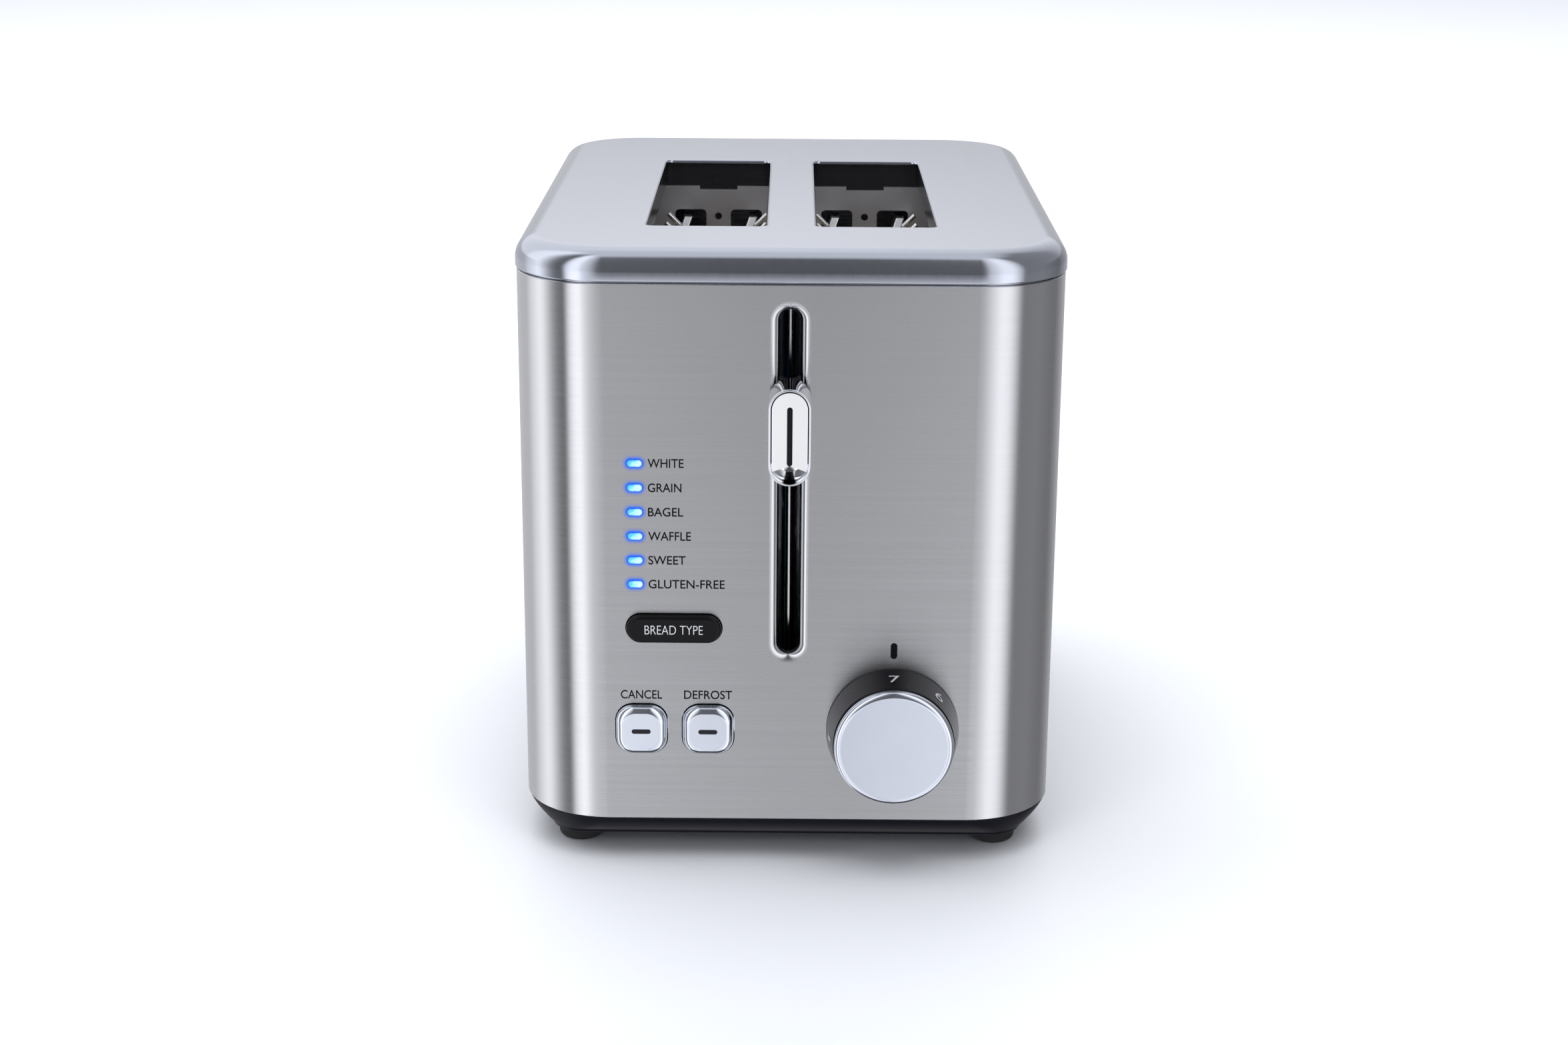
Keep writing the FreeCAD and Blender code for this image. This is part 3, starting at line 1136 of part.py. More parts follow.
frame = Piece("button_frame")
frame_low, frame_high = front + d.frame_front, front + d.frame_back
frame.pad("XZ", frame_low, frame_high,
          rounded(d.frame_left, d.frame_right, d.frame_bottom, d.frame_top, d.frame_corner))
frame.cut("XZ", frame_low, frame_high, *button_outlines(d.button_gap))
frame.pad("XZ", frame_high, d.circuit_place, *[
    circle(x, z, d.frame_post)
    for x in (d.frame_left + d.frame_inset, d.frame_right - d.frame_inset)
    for z in (d.frame_bottom + d.frame_corner, d.frame_top - d.frame_inset)])


# ---- buttons -----------------------------------------------------------------------------------

flange_front = frame_high + d.flange_gap
flange_back = flange_front + d.flange_wall
stem_back = d.circuit_place - d.stem_short
cap_outlines, flange_outlines = button_outlines(0.0), button_outlines(d.flange_lip)
for index, (label, reach) in enumerate((("cancel", d.button_reach), ("defrost", d.button_reach),
                                        ("bread_type", d.type_reach))):
    x, z = switch_places[index]
    cap = Piece(label + "_button")
    cap.pad("XZ", front - reach, flange_front, cap_outlines[index])
    cap.soften("Fillet", d.button_round, lies_at(1, front - reach))
    cap.pad("XZ", flange_front, flange_back, flange_outlines[index])
    cap.pad("XZ", flange_back, stem_back, circle(x, z, d.stem_radius))
    if label != "bread_type":
        window_outline = stadium(x - d.window_half, x + d.window_half, z - d.window_tall,
                                 z + d.window_tall)
        window_back = front - reach + d.window_tall
        cap.cut("XZ", front - reach, window_back, window_outline)
        window = Piece(label + "_window")
        window.pad("XZ", front - reach - d.window_proud, window_back, window_outline)


# ---- browning knob: dial, cap and shaft turn together ---------------------------------------------

cap_back = lever_front + d.cap_depth
dial = Piece("browning_dial")
dial_back = front - d.dial_gap
bore, hub = d.shaft_radius + d.rod_fit, d.shaft_radius + d.hub_wall
web_back = cap_back + d.dial_web
dial.turn("XY", d.knob_height, polygon(
    (d.knob_radius, dial_back), (d.knob_neck, cap_back), (bore, cap_back),
    (bore, front - d.hub_wall), (hub, front - d.hub_wall), (hub, web_back),
    (d.knob_neck - d.dial_wall, web_back), (d.knob_radius - d.dial_wall, dial_back)), x=d.knob_place)

cap = Piece("browning_dial_cap")
cap.turn("XY", d.knob_height, polygon(
    (0.0, lever_front), (d.cap_radius, lever_front), (d.cap_radius, cap_back), (0.0, cap_back)),
    x=d.knob_place)
cap.soften("Fillet", d.cap_roll, lies_at(1, lever_front))

shaft = Piece("browning_shaft")
shaft.pad("XZ", cap_back + d.well_gap, front + d.shaft_deep,
          circle(d.knob_place, d.knob_height, d.shaft_radius))

control = Piece("browning_control")
control_front = front + d.control_front
shaft_hole = circle(d.knob_place, d.knob_height, d.shaft_radius + d.shaft_clear)
control.pad("XZ", inside + d.well_gap, control_front,
            circle(d.knob_place, d.knob_height, d.neck_radius), shaft_hole)
control.pad("XZ", control_front, front + d.control_back,
            rounded(d.knob_place - d.control_half, d.knob_place + d.control_half,
                    d.knob_height - d.control_half, d.knob_height + d.control_half,
                    d.control_corner), shaft_hole)


# ---- rear compartment: power board and cord gland ----------------------------------------------------

power_back = d.power_place + d.circuit_wall
power_board = Piece("power_board")
power_board.pad("XZ", d.power_place, power_back,
                rounded(-d.power_half, d.power_half, d.circuit_low, d.power_top, d.board_corner))
spacers = Piece("board_spacers")
spacers.pad("XZ", rear_plate_back, d.power_place, *[
    circle(x, z, d.spacer_radius)
    for x in (-d.power_half + d.spacer_inset, d.power_half - d.spacer_inset)
    for z in (d.circuit_low + d.spacer_inset, d.power_top - d.spacer_inset)])
block("relay", d.relay_left, d.relay_left + d.relay_wide, power_back, power_back + d.relay_deep,
      d.relay_low, d.relay_low + d.relay_tall)
block("transformer", d.winding_left, d.winding_left + d.winding_wide, power_back,
      power_back + d.winding_deep, d.winding_low, d.winding_low + d.winding_tall)
block("terminal_block", d.terminal_left, d.terminal_left + d.terminal_wide, power_back,
      power_back + d.terminal_deep, d.terminal_low, d.terminal_low + d.terminal_tall)

gland = Piece("cord_gland")
gland_back = rear + d.gland_tall
collar_front = rear - d.wall - d.gland_tall
gland.pad("XZ", rear, gland_back, circle(d.gland_place, d.gland_height, d.gland_flange))
gland.soften("Fillet", d.gland_round, lies_at(1, gland_back))
gland.pad("XZ", rear - d.wall, rear, circle(d.gland_place, d.gland_height, d.gland_neck))
gland.pad("XZ", collar_front, rear - d.wall, circle(d.gland_place, d.gland_height, d.gland_collar))
gland.cut("XZ", collar_front, gland_back, circle(d.gland_place, d.gland_height, d.gland_bore))


# ---- checks, then one file for each piece -------------------------------------------------------------

doc.recompute()
for item in doc.Objects:
    if "Invalid" in item.State or "Error" in item.State:
        raise RuntimeError("%s (%s) failed: %s" % (item.Name, item.Label, item.State))


def volume_before(feature):
    base_feature = feature.BaseFeature
    return base_feature.Shape.Volume if base_feature else 0.0


LEAST_CHANGE = 0.01   # cubic millimetres
for features, sign, fault in ((cutting, -1, "cuts nothing"), (adding, 1, "adds nothing")):
    for feature in features:
        if sign * (feature.Shape.Volume - volume_before(feature)) < LEAST_CHANGE:
            owner = feature.getParentGeoFeatureGroup()
            raise RuntimeError("%s of %s %s" % (feature.Name, owner.Label, fault))
for body in pieces:
    shape = body.Shape
    if shape.isNull() or not shape.isValid() or not shape.Solids:
        raise RuntimeError("%s has no valid solid" % body.Label)
    shape.exportStep("parts/%s.step" % body.Label)
print(len(pieces), "pieces written")
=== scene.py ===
import math

import bmesh
import bpy
from mathutils import Matrix, Vector


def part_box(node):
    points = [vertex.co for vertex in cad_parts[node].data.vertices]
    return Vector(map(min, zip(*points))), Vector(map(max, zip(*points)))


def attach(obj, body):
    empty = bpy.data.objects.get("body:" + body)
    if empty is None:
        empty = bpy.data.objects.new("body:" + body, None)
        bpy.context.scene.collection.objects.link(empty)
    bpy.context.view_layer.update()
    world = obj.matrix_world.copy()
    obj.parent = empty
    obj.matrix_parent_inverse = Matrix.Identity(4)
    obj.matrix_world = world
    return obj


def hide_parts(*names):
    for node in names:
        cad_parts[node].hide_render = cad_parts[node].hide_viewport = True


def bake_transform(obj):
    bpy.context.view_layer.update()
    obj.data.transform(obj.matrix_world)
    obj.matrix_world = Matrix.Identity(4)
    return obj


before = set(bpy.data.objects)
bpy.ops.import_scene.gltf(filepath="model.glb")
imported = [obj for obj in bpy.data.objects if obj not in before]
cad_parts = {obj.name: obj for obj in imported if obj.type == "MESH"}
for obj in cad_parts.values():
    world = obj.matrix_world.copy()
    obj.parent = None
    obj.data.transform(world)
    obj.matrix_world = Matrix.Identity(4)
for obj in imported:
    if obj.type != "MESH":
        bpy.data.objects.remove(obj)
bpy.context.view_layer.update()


# ---- Base --------------------------------------------------------------------------------------
# The toaster stands in a one-piece black moulding that tapers in towards the table.  Its skirt
# meets the lower edge of the steel body, a spigot plugs up inside the body, and the floor has a
# row of air slots.  Rails for the crumb tray and posts for the chassis screws rise from it.

MM = 0.001
ROUND_STEPS = 12
BLOCK_EDGE = 0.3
PAST = 1.0   # how far a cutter runs on past what it cuts


def limits(node):
    """Lowest and highest corner of a CAD node, in millimetres."""
    low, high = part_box(node)
    return [value / MM for value in low], [value / MM for value in high]


def rounded(x_low, x_high, y_low, y_high, radius, steps=ROUND_STEPS):
    """Points counter-clockwise round a rectangle with rounded corners."""
    corners = (
        (x_high - radius, y_low + radius, -90),
        (x_high - radius, y_high - radius, 0),
        (x_low + radius, y_high - radius, 90),
        (x_low + radius, y_low + radius, 180),
    )
    points = []
    for x, y, start in corners:
        for step in range(steps + 1):
            turn = math.radians(start + 90 * step / steps)
            points.append((x + radius * math.cos(turn), y + radius * math.sin(turn)))
    return points


def ring(x, y, radius, steps=ROUND_STEPS):
    """Points round a circle."""
    return rounded(x - radius, x + radius, y - radius, y + radius, radius, steps)


def stadium(x_low, x_high, y_low, y_high, grow=0.0, steps=ROUND_STEPS):
    """Points round a slot with round ends, grown by a clearance."""
    x_low, x_high, y_low, y_high = x_low - grow, x_high + grow, y_low - grow, y_high + grow
    return rounded(x_low, x_high, y_low, y_high, min(x_high - x_low, y_high - y_low) / 2, steps)


def level(outline, z):
    """The outline laid flat at height z."""
    return [(x, y, z) for x, y in outline]


def turned(x, y, profile):
    """Level circles up a turned part, from its radii and their heights."""
    return [level(ring(x, y, radius), z) for radius, z in profile]


def facing(outline, y):
    """The outline stood up at y, facing the front."""
    return [(x, y, z) for x, z in outline]


def arc(start, end, steps):
    """Sines and cosines over a turn from start to end, in degrees."""
    turns = [math.radians(start + (end - start) * step / steps) for step in range(steps + 1)]
    return [(math.sin(turn), math.cos(turn)) for turn in turns]


def skin(loops, joined=False):
    """A closed surface over loops of equal length, capped at its ends or joined end to end."""
    surface = bmesh.new()
    rows = [[surface.verts.new(point) for point in loop] for loop in loops]
    following = rows[1:] + rows[:1] if joined else rows[1:]
    for row, after in zip(rows, following):
        for index in range(len(row)):
            beside = (index + 1) % len(row)
            surface.faces.new((row[index], row[beside], after[beside], after[index]))
    if not joined:
        surface.faces.new(rows[0][::-1])
        surface.faces.new(rows[-1])
    bmesh.ops.remove_doubles(surface, verts=surface.verts, dist=1e-4)
    bmesh.ops.recalc_face_normals(surface, faces=surface.faces)
    return surface


def block(x_low, x_high, y_low, y_high, z_low, z_high):
    """A rectangular part with its upright edges rounded."""
    outline = rounded(x_low, x_high, y_low, y_high, BLOCK_EDGE, 3)
    return skin([level(outline, z_low), level(outline, z_high)])


def smooth(mesh, sharp):
    """Smooth shading that keeps the edges sharper than an angle."""
    mesh.shade_smooth()
    mesh.set_sharp_from_angle(angle=math.radians(sharp))


def settle(piece):
    """Replaces a piece's mesh by the one that its modifiers give, and takes them off."""
    bpy.context.view_layer.update()
    graph = bpy.context.evaluated_depsgraph_get()
    old = piece.data
    piece.data = bpy.data.meshes.new_from_object(piece.evaluated_get(graph))
    piece.modifiers.clear()
    bpy.data.meshes.remove(old)


def even_out(piece):
    """Lets large faces set the shading at their edges, so that flat faces look flat."""
    even = piece.modifiers.new("even", "WEIGHTED_NORMAL")
    even.keep_sharp = True
    settle(piece)


def build(name, parts, finish, sharp=35.0):
    """One object from closed parts drawn in millimetres, with its place in its mesh."""
    mesh = bpy.data.meshes.new(name)
    whole = bmesh.new()
    for part in parts:
        part.to_mesh(mesh)
        part.free()
        whole.from_mesh(mesh)
    bmesh.ops.scale(whole, vec=(MM, MM, MM), verts=whole.verts)
    whole.to_mesh(mesh)
    whole.free()
    smooth(mesh, sharp)
    mesh.materials.append(finish)
    piece = bpy.data.objects.new(name, mesh)
    bpy.context.scene.collection.objects.link(piece)
    even_out(piece)
    return piece


def cut(piece, parts, sharp=35.0):
    """Takes closed parts away from a piece, and evens out the shading of what is left."""
    cutter = build("cutter", parts, piece.data.materials[0])
    removal = piece.modifiers.new("cut", "BOOLEAN")
    removal.operation = "DIFFERENCE"
    removal.solver = "EXACT"
    removal.object = cutter
    settle(piece)
    bpy.data.objects.remove(cutter)
    smooth(piece.data, sharp)
    even_out(piece)


def add(piece, parts):
    """Joins more closed parts to a piece."""
    more = build("more", parts, piece.data.materials[0])
    with bpy.context.temp_override(active_object=piece, object=piece,
                                   selected_editable_objects=[piece, more]):
        bpy.ops.object.join()


class Link:
    """A socket in a material; a sum on numbers adds its Math nodes."""

    def __init__(self, paint, socket):
        self.paint = paint
        self.socket = socket

    def math(self, operation, first, second=0.0):
        return self.paint.node("ShaderNodeMath", {"operation": operation}, {0: first, 1: second})

    def __add__(self, other):
        return self.math("ADD", self, other)

    def __radd__(self, other):
        return self.math("ADD", other, self)

    def __sub__(self, other):
        return self.math("SUBTRACT", self, other)

    def __rsub__(self, other):
        return self.math("SUBTRACT", other, self)

    def __mul__(self, other):
        return self.math("MULTIPLY", self, other)

    def __rmul__(self, other):
        return self.math("MULTIPLY", other, self)

    def __truediv__(self, other):
        return self.math("DIVIDE", self, other)

    def __pow__(self, other):
        return self.math("POWER", self, other)

    def __abs__(self):
        return self.math("ABSOLUTE", self)


class Paint:
    """The nodes of one material, with its shader."""

    def __init__(self, name, **even):
        self.material = bpy.data.materials.new(name)
        self.material.use_nodes = True
        self.tree = self.material.node_tree
        self.shader = self.tree.nodes["Principled BSDF"]
        self.feed(self.shader, {name.replace("_", " "): value for name, value in even.items()})

    def feed(self, node, sockets):
        """Sets or links sockets, by name or by place."""
        for name, value in sockets.items():
            if isinstance(value, Link):
                self.tree.links.new(value.socket, node.inputs[name])
            else:
                node.inputs[name].default_value = value

    def node(self, kind, settings=None, sockets=None, output=0):
        """Any node: its settings first, then its sockets; gives back one output."""
        made = self.tree.nodes.new(kind)
        for name, value in (settings or {}).items():
            if name == "stops":
                while len(made.color_ramp.elements) < len(value):
                    made.color_ramp.elements.new(0.5)
                for stop, (place, colour) in zip(made.color_ramp.elements, value):
                    stop.position = place
                    stop.color = (*colour, 1.0)
            else:
                setattr(made, name, value)
        self.feed(made, sockets or {})
        return Link(self, made.outputs[output])

    def place(self, stretch):
        """The spot on the object, stretched to repeats per metre."""
        spot = self.node("ShaderNodeTexCoord", output="Object")
        return self.node("ShaderNodeMapping", None, {"Vector": spot, "Scale": stretch})

    def axes(self):
        """The spot's x, y and z, in millimetres."""
        spot = self.node("ShaderNodeTexCoord", output="Object")
        return [self.node("ShaderNodeSeparateXYZ", None, {0: spot}, axis) / MM for axis in range(3)]

    def noise(self, stretch, detail=3.0, rough=0.55):
        """A cloudy value round 0.5, with its own grain along each axis."""
        return self.node("ShaderNodeTexNoise", None, {
            "Vector": self.place(stretch), "Scale": 1.0, "Detail": detail, "Roughness": rough})

    def tint(self, factor, one, two):
        """A colour between two, by a factor."""
        return self.node("ShaderNodeMix", {"data_type": "RGBA"},
                         {0: factor, 6: as_colour(one), 7: as_colour(two)}, 2)

    def clamp(self, value, low, high):
        """A value as a share of the way from low to high, kept within 0 and 1."""
        return self.node("ShaderNodeMapRange", {"clamp": True},
                         {"Value": value, "From Min": low, "From Max": high})

    def bump(self, height, depth):
        """Relief of a depth in metres."""
        self.feed(self.shader, {"Normal": self.node("ShaderNodeBump", None, {
            "Height": height, "Distance": depth, "Strength": 1.0})})

    def wear(self, **varying):
        """Links what varies over the surface to the shader."""
        self.feed(self.shader, {name.replace("_", " "): value for name, value in varying.items()})
        return self.material


def as_colour(value):
    """A colour with its alpha, or a link as it is."""
    return value if isinstance(value, Link) else (*value, 1.0)


def moulded(name, dark, light, roughness, spread, shine=0.25, pore=0.0004):
    """Moulded plastic: a fine spark-eroded grain, with faint flow marks."""
    paint = Paint(name, IOR=1.5, Specular_IOR_Level=shine)
    cloud = paint.noise((40.0, 40.0, 40.0), 4.0)
    grain = paint.noise((1 / pore, 1 / pore, 1 / pore), 2.0)
    paint.bump(grain, 0.00002)
    return paint.wear(Base_Color=paint.tint(cloud, dark, light),
                      Roughness=cloud * spread + grain * spread + (roughness - spread))


base_black = moulded("base_black", (0.007, 0.007, 0.012), (0.013, 0.013, 0.020), 0.42, 0.12, 0.09)

base_low, base_high = limits("base")
shell_low, shell_high = limits("body_shell")
cover_low, cover_high = limits("top_cover")
COVER_CORNER = 29.0
COVER_LAP = 0.4
SHELL_CORNER = COVER_CORNER - COVER_LAP


def body_outline(inset, square=1.0):
    """The steel body's outline from above, set in; square says how fast its corners shrink."""
    return rounded(shell_low[0] + inset, shell_high[0] - inset, shell_low[1] + inset,
                   shell_high[1] - inset, SHELL_CORNER - square * inset)


steel_bottom = shell_low[2]
base_bottom = base_low[2]
SKIRT_TOP_INSET, SKIRT_FOOT_INSET, SKIRT_ROUND, SKIRT_SQUARE, SKIRT_LEAN = 0.4, 8.4, 1.6, 2.0, 0.9
SKIRT_SIDE = ((0.3, 6.3), (0.5, 4.1), (0.7, 2.2), (0.86, 0.95), (0.96, 0.45))   # share of height, inset
SPIGOT_INSET, SPIGOT_WALL, FLOOR_WALL, CAVITY_INSET, STEP = 1.3, 2.0, 2.2, 11.0, 0.02
spigot_top = base_high[2]
floor_top = base_bottom + FLOOR_WALL
skirt_sections = [(SKIRT_FOOT_INSET + SKIRT_ROUND, base_bottom)]
skirt_sections += [(SKIRT_FOOT_INSET + SKIRT_ROUND * (1 - SKIRT_LEAN * sine),
                    base_bottom + SKIRT_ROUND * (1 - cosine)) for sine, cosine in arc(15, 75, 5)]
skirt_sections += [(inset, base_bottom + rise * (steel_bottom - base_bottom)) for rise, inset in SKIRT_SIDE]
skirt_sections += [(SKIRT_TOP_INSET, steel_bottom - STEP)]
skirt = [level(body_outline(inset, SKIRT_SQUARE), z) for inset, z in skirt_sections]
skirt += [
    level(body_outline(SPIGOT_INSET), steel_bottom),
    level(body_outline(SPIGOT_INSET), spigot_top),
]
base = build("base_moulding", [skin(skirt)], base_black)

tray_low, tray_high = limits("crumb_tray")
TRAY_CLEAR, MOUTH_DEEP = 1.0, 14.0
VENTS, VENT_FIRST, VENT_PITCH, VENT_HALF, VENT_TALL = 9, -59.0, 14.0, 40.0, 2.0
screw_low, screw_high = limits("base_screws")
SCREW_HEAD, SCREW_SHANK, HEAD_CLEAR, SHANK_CLEAR, HEAD_SINK = 3.0, 1.5, 0.3, 0.2, 1.8
screw_x = screw_high[0] - SCREW_HEAD
screw_front, screw_back = screw_low[1] + SCREW_HEAD, screw_high[1] - SCREW_HEAD
screw_spots = [(sign * screw_x, y) for sign in (-1, 1) for y in (screw_front, screw_back)]
cavity = skin([
    level(body_outline(CAVITY_INSET), floor_top), level(body_outline(CAVITY_INSET), steel_bottom),
    level(body_outline(SPIGOT_INSET + SPIGOT_WALL), steel_bottom + STEP / 2),
    level(body_outline(SPIGOT_INSET + SPIGOT_WALL), spigot_top + PAST)])
mouth = block(tray_low[0] - TRAY_CLEAR, tray_high[0] + TRAY_CLEAR, shell_high[1] - MOUTH_DEEP,
              shell_high[1] + 2 * PAST, steel_bottom + STEP, spigot_top + PAST)
vents = [stadium(-VENT_HALF, VENT_HALF, VENT_FIRST + VENT_PITCH * place - VENT_TALL,
                 VENT_FIRST + VENT_PITCH * place + VENT_TALL) for place in range(VENTS)]
screw_hole = ((SCREW_HEAD + HEAD_CLEAR, base_bottom - PAST),
              (SCREW_HEAD + HEAD_CLEAR, base_bottom + HEAD_SINK),
              (SCREW_SHANK + SHANK_CLEAR, base_bottom + HEAD_SINK + STEP / 2),
              (SCREW_SHANK + SHANK_CLEAR, floor_top + PAST))
for gap in ([cavity], [mouth],
            [skin([level(vent, base_bottom - PAST), level(vent, floor_top + PAST)]) for vent in vents],
            [skin(turned(x, y, screw_hole)) for x, y in screw_spots]):
    cut(base, gap)
chassis_bottom = limits("chassis_front_plate")[0][2]
POST_RADIUS, RAIL_X, RAIL_HALF, RAIL_CLEAR, BURIED = 4.0, 51.5, 1.5, 0.3, 0.3
post = ((POST_RADIUS, floor_top - BURIED), (POST_RADIUS, chassis_bottom),
        (SCREW_SHANK + SHANK_CLEAR, chassis_bottom), (SCREW_SHANK + SHANK_CLEAR, floor_top - BURIED))
posts = [skin(turned(x, y, post), joined=True) for x, y in screw_spots]
rails = [block(sign * RAIL_X - RAIL_HALF, sign * RAIL_X + RAIL_HALF, tray_low[1],
               shell_high[1] - CAVITY_INSET, floor_top - BURIED, tray_low[2] - RAIL_CLEAR)
         for sign in (-1, 1)]
add(base, posts + rails)
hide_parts("base")
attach(base, "housing")


# ---- Feet and base screws ------------------------------------------------------------------------
# Four soft rubber feet with a hollow middle are pressed into the underside, and four slotted
# screws go up through the base into the chassis flanges.  Each kind is one part in two rows.


def rows_tree():
    """Geometry nodes that repeat a part in columns and rows and give it its finish."""
    tree = bpy.data.node_groups.new("rows_of_parts", "GeometryNodeTree")
    for name, kind in (("Part", "Geometry"), ("Columns", "Int"), ("Column step", "Vector"), ("Rows", "Int"),
                       ("Row step", "Vector"), ("Finish", "Material")):
        tree.interface.new_socket(name, in_out="INPUT", socket_type="NodeSocket" + kind)
    tree.interface.new_socket("Parts", in_out="OUTPUT", socket_type="NodeSocketGeometry")
    given = tree.nodes.new("NodeGroupInput")
    result = tree.nodes.new("NodeGroupOutput")
    parts = given.outputs["Part"]
    for count, step in (("Columns", "Column step"), ("Rows", "Row step")):
        line = tree.nodes.new("GeometryNodeMeshLine")
        tree.links.new(given.outputs[count], line.inputs["Count"])
        tree.links.new(given.outputs[step], line.inputs["Offset"])
        copies = tree.nodes.new("GeometryNodeInstanceOnPoints")
        tree.links.new(line.outputs["Mesh"], copies.inputs["Points"])
        tree.links.new(parts, copies.inputs["Instance"])
        parts = copies.outputs["Instances"]
    real = tree.nodes.new("GeometryNodeRealizeInstances")
    tree.links.new(parts, real.inputs["Geometry"])
    finish = tree.nodes.new("GeometryNodeSetMaterial")
    tree.links.new(real.outputs["Geometry"], finish.inputs["Geometry"])
    tree.links.new(given.outputs["Finish"], finish.inputs["Material"])
    tree.links.new(finish.outputs["Geometry"], result.inputs["Parts"])
    return tree


parts_in_rows = rows_tree()


def repeat(name, parts, finish, columns, column_step, rows=1, row_step=(0.0, 0.0, 0.0)):
    """A part repeated in columns and rows as one mesh; the steps are in millimetres."""
    piece = build(name, parts, finish)
    grid = piece.modifiers.new("rows", "NODES")
    grid.node_group = parts_in_rows
    named = {item.name: item.identifier for item in parts_in_rows.interface.items_tree}
    grid[named["Columns"]] = columns
    grid[named["Column step"]] = [value * MM for value in column_step]
    grid[named["Rows"]] = rows
    grid[named["Row step"]] = [value * MM for value in row_step]
    grid[named["Finish"]] = finish
    settle(piece)
    return piece


rubber = moulded("rubber", (0.02, 0.02, 0.022), (0.035, 0.035, 0.037), 0.75, 0.12, 0.2, 0.0003)
feet_low, feet_high = limits("feet")
FOOT_RADIUS, FOOT_ROUND, FOOT_PRESSED, BODY_MIDDLE = 7.5, 1.8, 0.1, 5.0
FOOT_HOLLOW = ((3.6, 0.7), (4.2, 0.5), (4.5, 0.0))   # radius, height
foot_x, foot_y = feet_low[0] + FOOT_RADIUS, feet_low[1] + FOOT_RADIUS
foot = [*FOOT_HOLLOW]
foot += [(FOOT_RADIUS - FOOT_ROUND * (1 - sine), FOOT_ROUND * (1 - cosine))
         for sine, cosine in arc(0, 90, 6)]
foot += [(FOOT_RADIUS, feet_high[2] + FOOT_PRESSED)]
feet = repeat("rubber_feet", [skin(turned(foot_x, foot_y, foot))], rubber, 2, (-2 * foot_x, 0, 0),
              2, (0, 2 * (BODY_MIDDLE - foot_y), 0))
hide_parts("feet")
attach(feet, "housing")


def turned_steel(name, colour, roughness, coarse):
    """Bare metal with fine turning or rolling marks."""
    paint = Paint(name, Metallic=1.0)
    marks = paint.noise((coarse, coarse, coarse * 6), 3.0)
    stain = paint.noise((60.0, 60.0, 60.0), 3.0)
    paint.bump(marks, 0.00001)
    shade = [value * 0.78 for value in colour]
    return paint.wear(Base_Color=paint.tint(stain, shade, colour),
                      Roughness=roughness - 0.08 + marks * 0.16)


screw_steel = turned_steel("screw_steel", (0.55, 0.55, 0.56), 0.32, 900.0)
HEAD_TALL, DRIVE_HALF, DRIVE_LONG, DRIVE_DEEP, TIP = 1.6, 0.4, 5.0, 1.0, 0.5
HEAD_DOME = ((2.3, 0.0), (2.8, 0.25), (3.0, 0.7), (3.0, HEAD_TALL), (SCREW_SHANK, HEAD_TALL))
screw_loops = [(radius, screw_low[2] + rise) for radius, rise in HEAD_DOME]
screw_loops += [(SCREW_SHANK, screw_high[2] - TIP), (SCREW_SHANK - TIP, screw_high[2])]
screw = build("screw", [skin(turned(-screw_x, screw_front, screw_loops))], screw_steel)
cut(screw, [block(-screw_x - DRIVE_HALF, -screw_x + DRIVE_HALF, screw_front - DRIVE_LONG,
                  screw_front + DRIVE_LONG, screw_low[2] - PAST, screw_low[2] + DRIVE_DEEP)])
unit = bmesh.new()
unit.from_mesh(screw.data)
bmesh.ops.scale(unit, vec=(1 / MM, 1 / MM, 1 / MM), verts=unit.verts)
bpy.data.objects.remove(screw)
screws = repeat("chassis_screws", [unit], screw_steel, 2, (2 * screw_x, 0, 0), 2,
                (0, screw_back - screw_front, 0))
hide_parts("base_screws")
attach(screws, "housing")


# ---- Chassis and heaters -------------------------------------------------------------------------
# Two zinc-coated end plates carry everything inside the body: the mica heater boards with their
# wound ribbons, the side reflectors and the guide rod with its brackets.  They keep their CAD
# shape, and each sheet gets the finish of the stock that it is made from.


def cover_with(finish, *nodes):
    """Gives CAD nodes their finish."""
    for node in nodes:
        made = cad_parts[node]
        for place in range(len(made.data.materials)):
            made.material_slots[place].material = finish
        if not made.data.materials:
            made.data.materials.append(finish)


def zinc_sheet(name, colour, roughness):
    """Coated sheet with a faint crystal pattern and oven tint."""
    paint = Paint(name, Metallic=1.0)
    crystal = paint.node("ShaderNodeTexVoronoi", {"feature": "SMOOTH_F1"}, {
        "Vector": paint.place((160.0, 160.0, 160.0)), "Scale": 1.0, "Smoothness": 0.6})
    heat = paint.noise((18.0, 18.0, 18.0), 3.0)
    warm = [colour[0] * 0.92, colour[1] * 0.9, colour[2] * 0.87]
    paint.bump(crystal, 0.00002)
    return paint.wear(Base_Color=paint.tint(paint.clamp(heat, 0.35, 0.8), colour, warm),
                      Roughness=crystal * 0.12 + (roughness - 0.05))


chassis_steel = zinc_sheet("chassis_steel", (0.86, 0.87, 0.93), 0.4)
cover_with(chassis_steel, "chassis_front_plate", "chassis_rear_plate", "rod_bracket_top",
           "rod_bracket_bottom", "magnet_bracket", "carriage_bracket", "armature_plate", "lever_stem")
reflector_steel = zinc_sheet("reflector_steel", (0.75, 0.75, 0.76), 0.18)
cover_with(reflector_steel, "reflector_left", "reflector_right")
cover_with(turned_steel("rod_steel", (0.7, 0.7, 0.71), 0.15, 500.0), "guide_rod")

